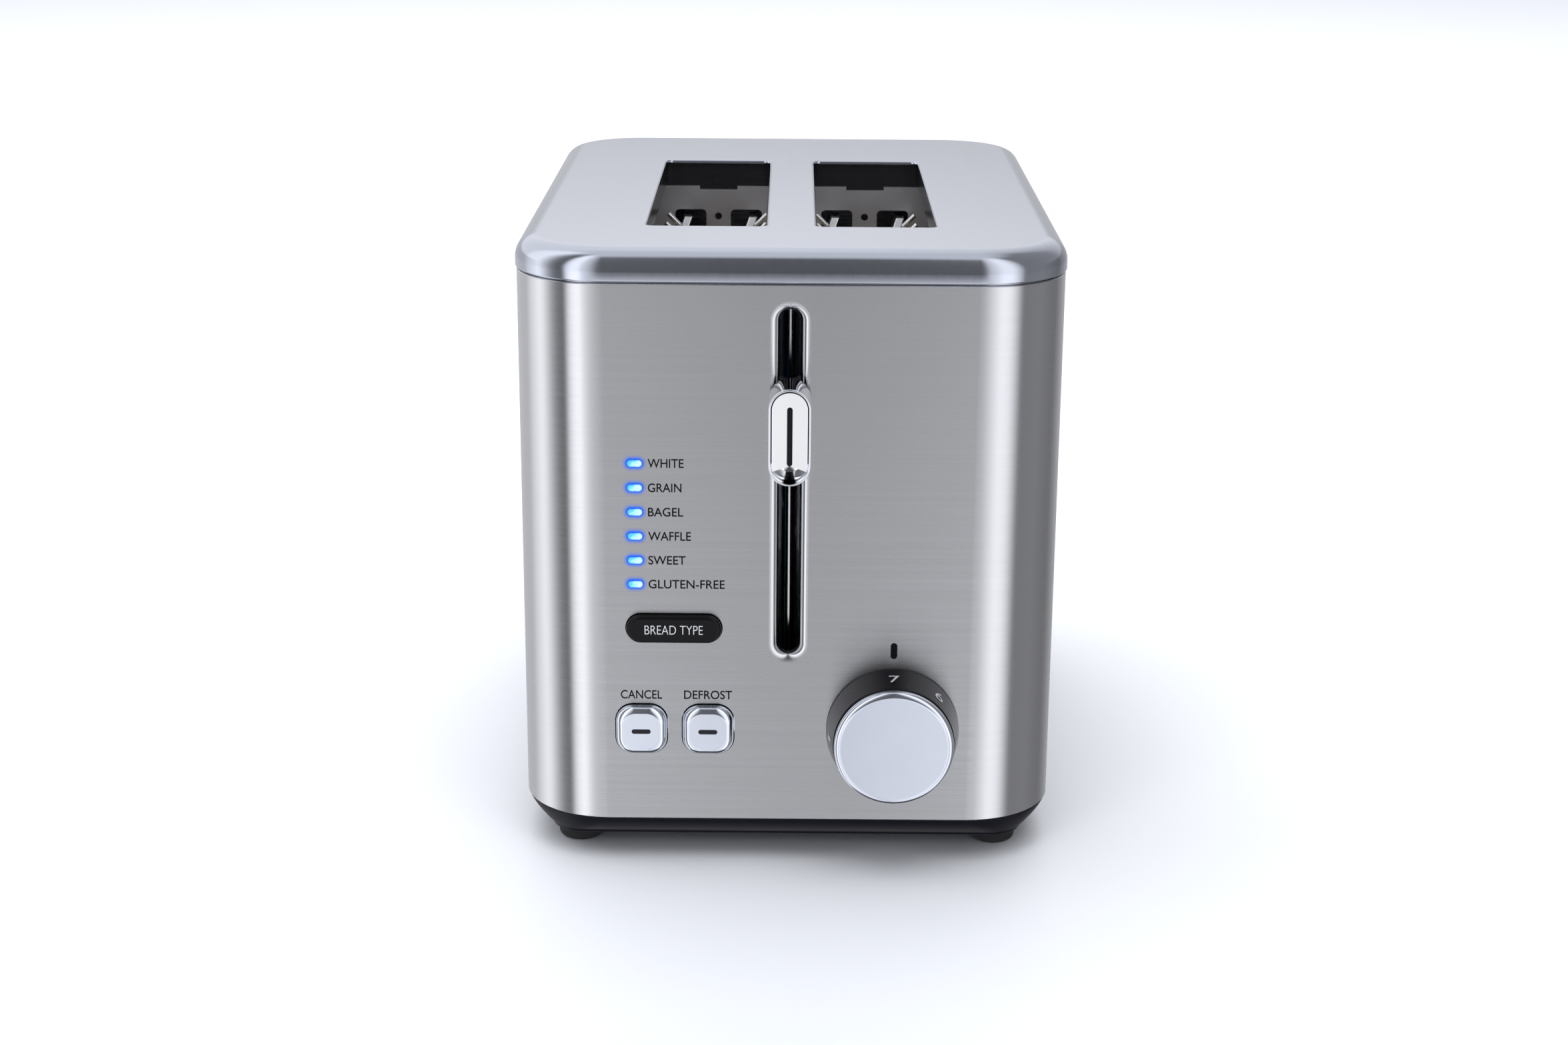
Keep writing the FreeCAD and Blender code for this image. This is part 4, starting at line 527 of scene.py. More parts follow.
mica = Paint("mica", IOR=1.56)
flake = mica.noise((120.0, 120.0, 120.0), 5.0, 0.65)
mica.bump(flake, 0.00004)
cover_with(mica.wear(Base_Color=mica.tint(flake, (0.50, 0.40, 0.27), (0.72, 0.65, 0.50)),
                     Roughness=0.35 + flake * 0.3),
           "heater_board_left", "heater_board_centre", "heater_board_right")
ribbon = Paint("heating_ribbon", Metallic=1.0)
scale_marks = ribbon.noise((800.0, 60.0, 800.0), 3.0)
ribbon.bump(scale_marks, 0.00001)
cover_with(ribbon.wear(Base_Color=ribbon.tint(scale_marks, (0.20, 0.16, 0.14), (0.42, 0.36, 0.33)),
                       Roughness=0.35 + scale_marks * 0.3),
           "heating_ribbon_left", "heating_ribbon_centre", "heating_ribbon_right")


# ---- Crumb tray -----------------------------------------------------------------------------------
# A folded tray of bright sheet lies on the base's rails, and slides out at the back by a black
# moulded handle with a finger hollow underneath.

cover_with(zinc_sheet("tray_steel", (0.7, 0.71, 0.73), 0.28), "crumb_tray")
cover_with(moulded("handle_black", (0.012, 0.013, 0.016), (0.02, 0.021, 0.025), 0.32, 0.1),
           "crumb_tray_handle")


# ---- Bread guides -----------------------------------------------------------------------------------
# Four grilles of plated wire, one on each side of each slot, hang on a pivot wire low down and
# lean in on the bread as the carriage goes down.  Seven upright wires bend outwards at the top
# and are welded to a rail; the bent tabs at the ends pass through windows in the chassis plates.

WIRE_SIDES = 12


def tube(path, radius, flat):
    """A round wire along points in one plane; flat is the direction square to that plane."""
    flat = Vector(flat)
    points = [Vector(point) for point in path]
    loops = []
    for index, point in enumerate(points):
        before = points[max(index - 1, 0)]
        after = points[min(index + 1, len(points) - 1)]
        across = (after - before).normalized().cross(flat)
        loops.append([point + radius * (flat * math.cos(turn) + across * math.sin(turn))
                      for turn in (2 * math.pi * side / WIRE_SIDES for side in range(WIRE_SIDES))])
    return skin(loops)


wire_steel = turned_steel("wire_steel", (0.93, 0.93, 0.94), 0.26, 700.0)
WIRES, WIRE_FIRST, WIRE_PITCH, WIRE_RADIUS = 7, -61.0, 19.0, 0.9
PIVOT_HEIGHT, PIVOT_RADIUS, PIVOT_SHORT, RAIL_HEIGHT, RAIL_SHORT = 44.0, 1.1, 1.0, 168.0, 3.0
BEND_HEIGHT, BEND_TURN, BEND_ROUND, FLARE = 176.0, 45.0, 4.0, 5.0
TAB_LOW, TAB_HIGH, TAB_WIDE, TAB_ASIDE = 174.0, 179.2, 3.0, 1.1
TAB_LEAN, TAB_EDGE, TAB_SLOPE = 1.0, 0.4, 4.0
WIRE_LAST = WIRE_FIRST + WIRE_PITCH * (WIRES - 1)
SLOT_INNER, SLOT_OUTER, GUIDE_OFFSET = 8.0, 45.87, 13.0
slot_middle = (SLOT_INNER + SLOT_OUTER) / 2
chassis_front, chassis_back = limits("chassis_front_plate")[1][1], limits("chassis_rear_plate")[0][1]

for side, sign in (("left", -1), ("right", 1)):
    for which, way in (("outer", sign), ("inner", -sign)):
        body = "guide_%s_%s" % (side, which)
        node = "bread_" + body
        low, high = limits(node)
        line = slot_middle * sign + GUIDE_OFFSET * way
        reach = BEND_ROUND * math.tan(math.radians(BEND_TURN) / 2)
        path = [(line, WIRE_FIRST, PIVOT_HEIGHT), (line, WIRE_FIRST, BEND_HEIGHT - reach)]
        path += [(line + way * BEND_ROUND * (1 - cosine), WIRE_FIRST,
                  BEND_HEIGHT - reach + BEND_ROUND * sine) for sine, cosine in arc(9, BEND_TURN, 4)]
        path += [(line + way * FLARE, WIRE_FIRST, BEND_HEIGHT + FLARE)]
        guide = repeat(body + "_grille", [tube(path, WIRE_RADIUS, (0, 1, 0))], wire_steel, WIRES,
                       (0, WIRE_PITCH, 0))
        edge = line - TAB_WIDE / 2 - TAB_ASIDE * way
        tabs = []
        for y_low, y_high, slope in ((low[1], WIRE_FIRST, 0.0), (WIRE_LAST, high[1], TAB_SLOPE)):
            ends = ((-TAB_LEAN, 0.0, TAB_LOW), (TAB_LEAN, slope, TAB_HIGH))
            tabs.append(skin([level(rounded(edge + lean, edge + TAB_WIDE + lean, y_low + start, y_high,
                                            TAB_EDGE, 4), height) for lean, start, height in ends]))
        rail = [(line, y, RAIL_HEIGHT) for y in (chassis_front + RAIL_SHORT, chassis_back - RAIL_SHORT)]
        pivot = [(line, low[1] + PIVOT_SHORT, PIVOT_HEIGHT), (line, high[1] - PIVOT_SHORT, PIVOT_HEIGHT)]
        add(guide, tabs + [tube(rail, WIRE_RADIUS, (1, 0, 0)), tube(pivot, PIVOT_RADIUS, (1, 0, 0))])
        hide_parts(node)
        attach(guide, body)


# ---- Carriage ---------------------------------------------------------------------------------------
# The lever moves a pressed bracket that runs on the guide rod in two bushes.  Each bread rack is
# an upright strip with round rungs welded across it, and a drawn coil spring lifts the carriage.

cover_with(moulded("bush_white", (0.62, 0.60, 0.55), (0.72, 0.70, 0.66), 0.4, 0.1), "carriage_bushes")
RUNGS, RUNG_FIRST, RUNG_PITCH, RUNG_RADIUS, RUNG_HALF, RUNG_RISE = 8, -59.0, 16.0, 1.1, 9.0, 3.6
STRIP_HALF, STRIP_TALL = 0.75, 3.0
for side, sign in (("left", -1), ("right", 1)):
    node = "bread_rack_" + side
    low, high = limits(node)
    middle = slot_middle * sign
    rung = [(middle + RUNG_HALF * end, RUNG_FIRST, low[2] + RUNG_RISE) for end in (-1, -0.98, 0.98, 1)]
    rack = repeat(node + "_rungs", [tube(rung, RUNG_RADIUS, (0, 1, 0))], wire_steel, RUNGS,
                  (0, RUNG_PITCH, 0))
    add(rack, [block(middle - STRIP_HALF, middle + STRIP_HALF, low[1], high[1],
                     low[2], low[2] + STRIP_TALL)])
    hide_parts(node)
    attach(rack, "carriage")

spring_low, spring_high = limits("return_spring")
spring_x, spring_y = [(spring_low[axis] + spring_high[axis]) / 2 for axis in (0, 1)]
COILS, COIL_RADIUS, COIL_WIRE, COIL_SIDES, COIL_STEPS = 30, 3.2, 0.5, 8, 20
helix = []
for step in range(COILS * COIL_STEPS + 1):
    share = step / (COILS * COIL_STEPS)
    turn = 2 * math.pi * step / COIL_STEPS
    out = Vector((math.cos(turn), math.sin(turn), 0))
    centre = Vector((spring_x, spring_y, spring_low[2] + COIL_WIRE
                     + share * (spring_high[2] - spring_low[2] - 2 * COIL_WIRE))) + out * COIL_RADIUS
    helix.append([centre + COIL_WIRE * (out * math.cos(roll) + Vector((0, 0, math.sin(roll))))
                  for roll in (2 * math.pi * side / COIL_SIDES for side in range(COIL_SIDES))])
spring_steel = turned_steel("spring_steel", (0.5, 0.5, 0.5), 0.25, 900.0)
spring = build("return_spring_coil", [skin(helix)], spring_steel)
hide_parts("return_spring")
spring_x * MM
spring_y * MM
spring_x * MM
spring_y * MM
spring_low[2] * MM
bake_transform(spring)


# ---- Magnet, boards and switches ----------------------------------------------------------------------
# An electromagnet under the carriage holds the bread down.  The control board behind the front
# carries the switches and lamps, and the power board at the back the relay, the transformer and
# the mains terminals.

cover_with(screw_steel, "magnet_core")
winding = Paint("copper_winding", Metallic=1.0)
turns = winding.noise((300.0, 300.0, 3000.0), 2.0)
winding.bump(turns, 0.00004)
cover_with(winding.wear(Base_Color=winding.tint(turns, (0.38, 0.14, 0.06), (0.75, 0.34, 0.16)),
                        Roughness=0.3 + turns * 0.2), "magnet_coil")
board = Paint("circuit_green", IOR=1.5, Coat_Weight=0.4, Coat_Roughness=0.15)
tracks = board.node("ShaderNodeTexBrick", {"offset": 0.4}, {
    "Vector": board.place((250.0, 250.0, 250.0)), "Scale": 1.0, "Mortar Size": 0.08,
    "Color1": (0.02, 0.13, 0.05, 1.0), "Color2": (0.03, 0.18, 0.07, 1.0),
    "Mortar": (0.06, 0.28, 0.12, 1.0)})
cover_with(board.wear(Base_Color=tracks, Roughness=0.35 + board.noise((90.0, 90.0, 90.0)) * 0.2),
           "control_board", "power_board")
part_black = moulded("component_black", (0.015, 0.015, 0.016), (0.03, 0.03, 0.032), 0.45, 0.15)
cover_with(part_black, "push_switches", "button_frame", "browning_control", "board_spacers")
cover_with(moulded("relay_blue", (0.03, 0.08, 0.2), (0.05, 0.11, 0.26), 0.4, 0.12), "relay")
cover_with(moulded("core_lacquer", (0.06, 0.05, 0.03), (0.1, 0.08, 0.05), 0.5, 0.15), "transformer")
cover_with(moulded("terminal_green", (0.03, 0.2, 0.09), (0.05, 0.27, 0.12), 0.42, 0.12), "terminal_block")
lamp = Paint("lamp_white", Roughness=0.3)
cover_with(lamp.wear(Base_Color=lamp.tint(lamp.noise((900.0, 900.0, 900.0)), (0.75, 0.76, 0.7),
                                          (0.9, 0.9, 0.86))), "indicator_lamps")


# ---- Steel body ----------------------------------------------------------------------------------------
# One wrap of stainless sheet, brushed level along its length, closes all four sides.  The front
# is pierced for the lever track, the lenses, the buttons and the knob, and the track's edge is
# rolled inwards.  The back has the tray mouth and the hole for the mains gland.

WALL = 1.0
shell_top = shell_high[2]
front, rear = shell_low[1], shell_high[1]
LENSES, LENS_X, LENS_TOP, LENS_PITCH, LENS_HALF, LENS_RADIUS = 6, -47.8, 132.7, 7.82, 2.52, 1.32
SPILL_REACH, SPILL_FADE = 1.6, 1.8


def grained_steel(name, streak, cloud, roughness, turn, spread, depth, glow=0.0):
    """Brushed stainless sheet; streak and cloud are repeats per metre of its fine and broad grain, and glow
    is the strength of the painted lamp light that the sheet gives off as emission.
    """
    paint = Paint(name, Metallic=1.0, Anisotropic=spread, Anisotropic_Rotation=turn,
                  Emission_Strength=glow)
    fine = paint.noise(streak, 2.0, 0.6)
    broad = paint.noise(cloud, 3.0, 0.6)
    paint.bump(fine * 0.7 + broad * 0.3, depth)
    return paint, fine, broad, ((broad - 0.5) * 0.3 + (fine - 0.5) * 0.3 + 1) * roughness


def from_line(paint, along, across, half):
    """Distance from the middle line of a round-ended shape, whose line is half long each way."""
    past = paint.node("ShaderNodeMath", {"operation": "MAXIMUM"}, {0: abs(along) - half, 1: 0.0})
    return (past * past + across * across) ** 0.5


def from_lens(paint):
    """How far to the right of the nearest lens, above it and off its middle line, in millimetres."""
    right, _, up = paint.axes()
    row = paint.node("ShaderNodeMath", {"operation": "ROUND"}, {0: (LENS_TOP - up) / LENS_PITCH})
    row = paint.node("ShaderNodeMath", {"operation": "MINIMUM"}, {0: row, 1: LENSES - 1.0})
    row = paint.node("ShaderNodeMath", {"operation": "MAXIMUM"}, {0: row, 1: 0.0})
    right, up = right - LENS_X, up - LENS_TOP + row * LENS_PITCH
    return right, up, from_line(paint, right, up, LENS_HALF - LENS_RADIUS)


steel, fine, broad, brushed = grained_steel(
    "brushed_steel", (9.0, 9.0, 5200.0), (5.0, 5.0, 900.0), 0.27, 0.25, 1.0, 0.0000012, 1.0)
away = from_lens(steel)[2]
x, y, _ = steel.axes()
# Painted light: round each lens, on the front face only, the steel is tinted blue and made to glow, fading
# out a little way from the lens's edge. It stands in for the lamps' light spilling onto the sheet.
painted_lamp_spill = (1 - steel.clamp(away, LENS_RADIUS, LENS_RADIUS + SPILL_REACH)) ** SPILL_FADE
painted_lamp_spill = painted_lamp_spill * (1 - steel.clamp(y, front + 1.0, front + 2.0))
# the track's rolled edge is smoother than the sheet
rolled = steel.clamp(y, front + 0.05, front + 0.5) * (1 - steel.clamp(abs(x), 7.5, 8.0))
rolled = rolled * (1 - steel.clamp(y, front + 4.0, front + 6.0))
grey = steel.tint(broad * 0.6 + fine * 0.4, (0.635, 0.635, 0.65), (0.685, 0.685, 0.70))
# the blue in the base colour and the emission here is the painted lamp light round the lenses
brushed_steel = steel.wear(
    Base_Color=steel.tint(painted_lamp_spill, grey, (0.04, 0.16, 0.62)),
    Roughness=brushed * (1 - rolled * 0.55),
    Emission_Color=steel.tint(painted_lamp_spill, (0.0, 0.0, 0.0), (0.0, 0.08, 0.55)))

EDGE = 0.25
wrap = [level(body_outline(EDGE), steel_bottom), level(body_outline(0), steel_bottom + EDGE),
        level(body_outline(0), shell_top - EDGE), level(body_outline(EDGE), shell_top),
        level(body_outline(WALL), shell_top), level(body_outline(WALL), steel_bottom)]
shell = build("steel_body", [skin(wrap, joined=True)], brushed_steel)

TRACK_HALF, TRACK_LOW, TRACK_HIGH, TRACK_ROLL = 3.15, 70.9, 180.8, 2.95
cancel_low, cancel_high = limits("cancel_button")
defrost_low, defrost_high = limits("defrost_button")
type_low, type_high = limits("bread_type_button")
FLANGE_LIP, BUTTON_CORNER, BUTTON_GAP, SHAFT_HOLE, GLAND_HOLE, MOUTH_HEAD = 1.2, 5.4, 0.35, 4.6, 6.1, 0.8


def button_outline(low, high, grow, corner=BUTTON_CORNER, keep=0.0):
    """A button's outline, from its node's box, which is its flange; keep slows the corners' change."""
    return rounded(low[0] + FLANGE_LIP - grow, high[0] - FLANGE_LIP + grow, low[2] + FLANGE_LIP - grow,
                   high[2] - FLANGE_LIP + grow, corner + grow * (1 - keep))


TYPE_CORNER = (type_high[2] - type_low[2]) / 2 - FLANGE_LIP
lens_holes = [stadium(LENS_X - LENS_HALF, LENS_X + LENS_HALF,
                      LENS_TOP - LENS_PITCH * place - LENS_RADIUS,
                      LENS_TOP - LENS_PITCH * place + LENS_RADIUS, 0.05) for place in range(LENSES)]
knob_low, knob_high = limits("browning_dial")
knob_x, knob_z = [(knob_low[axis] + knob_high[axis]) / 2 for axis in (0, 2)]
knob_radius = (knob_high[0] - knob_low[0]) / 2
front_holes = lens_holes + [
    stadium(-TRACK_HALF, TRACK_HALF, TRACK_LOW, TRACK_HIGH, TRACK_ROLL),
    button_outline(cancel_low, cancel_high, BUTTON_GAP),
    button_outline(defrost_low, defrost_high, BUTTON_GAP),
    button_outline(type_low, type_high, BUTTON_GAP, TYPE_CORNER),
    ring(knob_x, knob_z, SHAFT_HOLE),
]
gland_low = limits("cord_gland")[0]
GLAND_RADIUS = 9.0
gland_x, gland_z = gland_low[0] + GLAND_RADIUS, gland_low[2] + GLAND_RADIUS
openings = [skin([facing(hole, front + WALL + PAST), facing(hole, front - PAST)]) for hole in front_holes]
openings += [
    skin([facing(ring(gland_x, gland_z, GLAND_HOLE), y) for y in (rear + PAST, rear - WALL - PAST)]),
    block(tray_low[0] - TRAY_CLEAR, tray_high[0] + TRAY_CLEAR, rear - WALL - PAST, rear + PAST,
          steel_bottom - PAST, tray_high[2] + MOUTH_HEAD),
]
cut(shell, openings, 20.0)
track_back = front + TRACK_ROLL + 0.3
track_edge = [(TRACK_ROLL * (1 - sine), front + TRACK_ROLL * (1 - cosine))
              for sine, cosine in arc(0, 90, 10)]
track_edge += [(0.0, track_back), (WALL, track_back), (TRACK_ROLL, front + WALL)]
add(shell, [skin([facing(stadium(-TRACK_HALF, TRACK_HALF, TRACK_LOW, TRACK_HIGH, grow), y)
                  for grow, y in track_edge], joined=True)])
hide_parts("body_shell")
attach(shell, "housing")


# ---- Cover -----------------------------------------------------------------------------------------------
# The top is a separate pressing of the same steel, polished finer, with a wide rolled edge and a
# narrow open joint above the body.  Two bread slots are pierced in it with rounded lips, and a
# tongue inside locates it in the body.

SEAM_GAP, COVER_EDGE, COVER_WALL, SLOT_CORNER, SLOT_ROLL, HEM = 0.6, 7.0, 1.2, 2.5, 0.9, 0.5
cover_top = cover_high[2]
cover_bottom = shell_top + SEAM_GAP
polish, fine, broad, satin = grained_steel(
    "cover_steel", (4200.0, 40.0, 900.0), (500.0, 12.0, 300.0), 0.12, 0.0, 0.3, 0.0000004)
cover_steel = polish.wear(
    Base_Color=polish.tint(broad * 0.5 + fine * 0.5, (0.53, 0.555, 0.625), (0.575, 0.60, 0.67)),
    Roughness=satin)


def cover_outline(inset):
    """The cover's outline from above, set in by a distance."""
    return rounded(cover_low[0] + inset, cover_high[0] - inset, cover_low[1] + inset,
                   cover_high[1] - inset, COVER_CORNER - inset, 16)


pressing = [level(cover_outline(HEM), cover_bottom)]
pressing += [level(cover_outline(HEM * (1 - sine)), cover_bottom + HEM * (1 - cosine))
             for sine, cosine in arc(30, 90, 3)]
pressing += [level(cover_outline(COVER_EDGE * (1 - cosine)), cover_top - COVER_EDGE * (1 - sine))
             for sine, cosine in arc(0, 90, 16)]
inside = [level(cover_outline(COVER_WALL + (COVER_EDGE - COVER_WALL) * (1 - cosine)),
                cover_top - COVER_WALL - (COVER_EDGE - COVER_WALL) * (1 - sine))
          for sine, cosine in arc(90, 0, 6)]
inside += [level(cover_outline(COVER_WALL), cover_bottom)]
sheet = bmesh.new()
rows = [[sheet.verts.new(point) for point in loop] for loop in pressing + inside]
turn_over = len(pressing)
for index, (row, after) in enumerate(zip(rows, rows[1:] + rows[:1])):
    if index != turn_over - 1:
        for place in range(len(row)):
            beside = (place + 1) % len(row)
            sheet.faces.new((row[place], row[beside], after[beside], after[place]))
sheet.faces.new(rows[turn_over - 1])
sheet.faces.new(rows[turn_over][::-1])
bmesh.ops.recalc_face_normals(sheet, faces=sheet.faces)
cover = build("steel_cover", [sheet], cover_steel)

SLOT_FRONT, SLOT_REAR, SLOT_REACH = -72.5, 62.8, 4.0
slot_spans = [(-SLOT_OUTER, -SLOT_INNER), (SLOT_INNER, SLOT_OUTER)]


def slot_outline(span, grow):
    """A bread slot's outline from above, grown by a distance."""
    return rounded(span[0] - grow, span[1] + grow, SLOT_FRONT - grow, SLOT_REAR + grow, SLOT_CORNER + grow)


cut(cover, [skin([level(slot_outline(span, SLOT_ROLL), cover_top + rise)
                  for rise in (-SLOT_REACH, SLOT_REACH)]) for span in slot_spans], 20.0)
lip = [(SLOT_ROLL * (1 - sine), SLOT_ROLL * (1 - cosine)) for sine, cosine in arc(0, 90, 8)]
lip += [(0.0, COVER_WALL), (SLOT_ROLL, COVER_WALL)]
lips = [skin([level(slot_outline(span, grow), cover_top - drop) for grow, drop in lip], joined=True)
        for span in slot_spans]


def hoop(outer, inner, z_low, z_high):
    """An upright wall that follows the body's outline between two insets."""
    return skin([level(body_outline(inset), z) for inset, z in
                 ((outer, z_low), (outer, z_high), (inner, z_high), (inner, z_low))], joined=True)


TONGUE_OUTSIDE, TONGUE_INSIDE = 1.3, 2.3
SEAT_OUTSIDE, SEAT_INSIDE, SEAT_RISE, SEAT_TOP = 0.7, 2.0, 0.35, 1.2
add(cover, lips + [hoop(TONGUE_OUTSIDE, TONGUE_INSIDE, cover_low[2], cover_bottom + SEAT_TOP),
                   hoop(SEAT_OUTSIDE, SEAT_INSIDE, cover_bottom + SEAT_RISE, cover_bottom + SEAT_TOP)])
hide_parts("top_cover")
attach(cover, "housing")
cover_with(moulded("collar_black", (0.010, 0.010, 0.012), (0.018, 0.018, 0.022), 0.2, 0.08, 0.5),
           "slot_collar_left", "slot_collar_right")


# ---- Indicator lenses -----------------------------------------------------------------------------------
# Six clear blue lenses on one light guide stand a little proud of the front, each lit from
# behind by its lamp: nearly white over the lamp and deep blue round the edge.

lens_low, lens_high = limits("indicator_lenses")
LENS_PROUD, LENS_EDGE, LENS_DOME, STRIP_DEEP, STRIP_ACROSS = 0.3, 0.35, 0.3, 2.6, 3.2
glow = Paint("lens_blue", Roughness=0.12, IOR=1.5, Emission_Strength=1.0)
right, up, away = from_lens(glow)
swirl = glow.noise((700.0, 300.0, 1200.0), 2.0)
core = 1 - glow.clamp(away, 0.55 * LENS_RADIUS, 0.95 * LENS_RADIUS)
bright = glow.clamp(right * 0.30 + 0.42 - up * 0.25 + (swirl - 0.5) * 1.6, 0.0, 1.0)
heart = glow.tint(bright, (0.01, 0.30, 1.0), (0.70, 1.0, 1.0))
lens_blue = glow.wear(Base_Color=glow.tint(core, (0.0, 0.05, 0.5), (0.1, 0.4, 0.8)),
                      Emission_Color=glow.tint(core, (0.0, 0.04, 0.40), heart))
lens_edge = [(-LENS_EDGE - LENS_DOME, front - LENS_PROUD)]
lens_edge += [(-LENS_EDGE * (1 - sine), front - LENS_PROUD + LENS_EDGE * (1 - cosine))
              for sine, cosine in arc(0, 90, 5)]
lens_edge += [(0.0, lens_high[1] - STRIP_DEEP)]
lens = skin([facing(stadium(LENS_X - LENS_HALF, LENS_X + LENS_HALF, LENS_TOP - LENS_RADIUS,
                            LENS_TOP + LENS_RADIUS, grow, 8), y) for grow, y in lens_edge])
lenses = repeat("indicator_lens_row", [lens], lens_blue, LENSES, (0, 0, -LENS_PITCH))
add(lenses, [block(LENS_X - STRIP_ACROSS, LENS_X + STRIP_ACROSS, lens_high[1] - STRIP_DEEP, lens_high[1],
                   lens_low[2], lens_high[2])])
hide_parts("indicator_lenses")
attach(lenses, "housing")


# ---- Push buttons -----------------------------------------------------------------------------------------
# Cancel and defrost are chromed square buttons with a small smoked window; bread type is a long
# gloss black one.  Each face is flat with a wide rolled edge, and each button has a flange
# behind the front that stops it falling out and a stem to its switch.


def plated(name, dull, bright):
    """Mirror plating with a faint smear."""
    paint = Paint(name, Metallic=1.0)
    smear = paint.noise((90.0, 90.0, 90.0), 3.0)
    return paint.wear(Base_Color=paint.tint(smear, dull, bright), Roughness=0.02 + smear * 0.05)


chrome = plated("chrome", (0.70, 0.74, 0.83), (0.76, 0.80, 0.88))
window_black = moulded("window_black", (0.01, 0.01, 0.014), (0.02, 0.02, 0.026), 0.12, 0.06, 0.2)
gloss_black = moulded("gloss_black", (0.004, 0.004, 0.005), (0.008, 0.008, 0.009), 0.14, 0.07, 0.15)
FLANGE_FRONT, FLANGE_BACK, STEM_RADIUS, STEM_LAP = 5.4, 6.4, 2.5, 0.2


def button(name, node, body, corner, keep, roll, deep, finish):
    """A flat-faced button with a wide rolled edge, its flange and its stem."""
    low, high = limits(node)
    top = low[1]
    face = [facing(button_outline(low, high, roll * (sine - 1), corner, keep), top + deep * (1 - cosine))
            for sine, cosine in arc(0, 90, 14)]
    face += [facing(button_outline(low, high, 0.0, corner), front + FLANGE_FRONT),
             facing(button_outline(low, high, FLANGE_LIP, corner), front + FLANGE_FRONT),
             facing(button_outline(low, high, FLANGE_LIP, corner), front + FLANGE_BACK)]
    x, z = (low[0] + high[0]) / 2, (low[2] + high[2]) / 2
    stem = skin([facing(ring(x, z, STEM_RADIUS), y) for y in (front + FLANGE_BACK - STEM_LAP, high[1])])
    piece = build(name, [skin(face), stem], finish, 40.0)
    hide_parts(node)
    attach(piece, body)
    return top, x, z


WINDOW_HALF, WINDOW_TALL = 3.1, 0.85
PANE_SIDE = ((-0.15, -0.05), (0.0, 0.05), (0.0, 0.8))   # growth, depth behind the button's face
for body in ("cancel", "defrost"):
    face_y, x, z = button(body + "_cap", body + "_button", body, BUTTON_CORNER, 0.45, 2.4, 2.6,
                          chrome)
    pane = skin([facing(stadium(x - WINDOW_HALF, x + WINDOW_HALF, z - WINDOW_TALL, z + WINDOW_TALL, grow),
                        face_y + deep) for grow, deep in PANE_SIDE])
    window = build(body + "_pane", [pane], window_black)
    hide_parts(body + "_window")
    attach(window, body)
type_face, type_x, type_z = button("bread_type_cap", "bread_type_button", "bread_type", TYPE_CORNER,
                                   0.0, 1.3, 1.1, gloss_black)


# ---- Lever ----------------------------------------------------------------------------------------------
# The lever is a chromed block on the end of the carriage's stem.  A raised rim runs round its
# face, the plate inside is let in a little, and its lower end falls away as half a shallow cone.
# A black line is let into the middle of the plate.

lever_low, lever_high = limits("lever_knob")
face_low, face_high = limits("lever_face")
plate_chrome = plated("plate_chrome", (0.94, 0.94, 0.94), (0.99, 0.99, 0.99))
LEVER_ROUND, LEVER_RIM, LEVER_CREASE, PLATE_GAP = 0.35, 0.75, 0.15, 0.1
lever_x = (lever_low[0] + lever_high[0]) / 2


def lever_outline(grow):
    """The lever's outline from the front, grown by a distance."""
    return stadium(lever_low[0], lever_high[0], lever_low[2], lever_high[2], grow, 16)


lever_side = [(-LEVER_ROUND, lever_high[1]), (0.0, lever_high[1] - LEVER_ROUND)]
lever_side += [(LEVER_ROUND * (cosine - 1), lever_low[1] + LEVER_ROUND * (1 - sine))
               for sine, cosine in arc(0, 90, 6)]
lever_side += [(-LEVER_RIM + LEVER_CREASE * (1 - sine), lever_low[1] + LEVER_CREASE * (1 - cosine))
               for sine, cosine in arc(0, 90, 4)]
lever_side += [(-LEVER_RIM, face_high[1])]
pocket = Paint("lever_chrome", Metallic=1.0)
right, _, up = pocket.axes()
lever_radius = (lever_high[0] - lever_low[0]) / 2
off = from_line(pocket, up - (lever_low[2] + lever_high[2]) / 2, right - lever_x,
                (lever_high[2] - lever_low[2]) / 2 - lever_radius)
smear = pocket.noise((90.0, 90.0, 90.0), 3.0)
cone_top = face_low[2] + (face_high[0] - face_low[0]) / 2
# Painted shade: inside the rim, the chrome of the pocket's inner wall is coloured near black to stand in for
# the shade and dark reflection in the gap between rim and plate. Low on the sides, beside the cone, it stays
# chrome.
flank = pocket.clamp(abs(right - lever_x), 1.5, 2.1) * (1 - pocket.clamp(up, cone_top - 0.6, cone_top))
pocket_shade = pocket.tint(flank, (0.01, 0.01, 0.012), (0.80, 0.82, 0.86))
wall_line = lever_radius - LEVER_RIM
lever_chrome = pocket.wear(
    Base_Color=pocket.tint(pocket.clamp(off, wall_line + 0.02, wall_line + 0.12), pocket_shade, (0.80, 0.82, 0.86)),
    Roughness=0.02 + smear * 0.05)
lever = build("lever_block", [skin([facing(lever_outline(grow), y) for grow, y in lever_side])],
              lever_chrome)
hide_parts("lever_knob")
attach(lever, "carriage")

plate_radius = (face_high[0] - face_low[0]) / 2 - PLATE_GAP
arc_low = face_low[2] + plate_radius + PLATE_GAP
CONE_FALL, CONE_EDGE, CONE_STEPS, PLATE_ROUND = 3.1, 20.0, 40, 0.15


def plate_outline(shrink):
    """The flat part of the lever's plate: round above, and notched below where the cone starts."""
    radius = plate_radius - shrink
    points = [(lever_x + radius * cosine, face_high[2] - PLATE_GAP - plate_radius + radius * sine)
              for sine, cosine in arc(0, 180, 24)]
    points += [(lever_x + radius * cosine, arc_low + radius * sine)
               for sine, cosine in arc(180, 180 + CONE_EDGE, 6)]
    points += [(lever_x, arc_low)]
    points += [(lever_x + radius * cosine, arc_low + radius * sine)
               for sine, cosine in arc(360 - CONE_EDGE, 360, 6)]
    return points


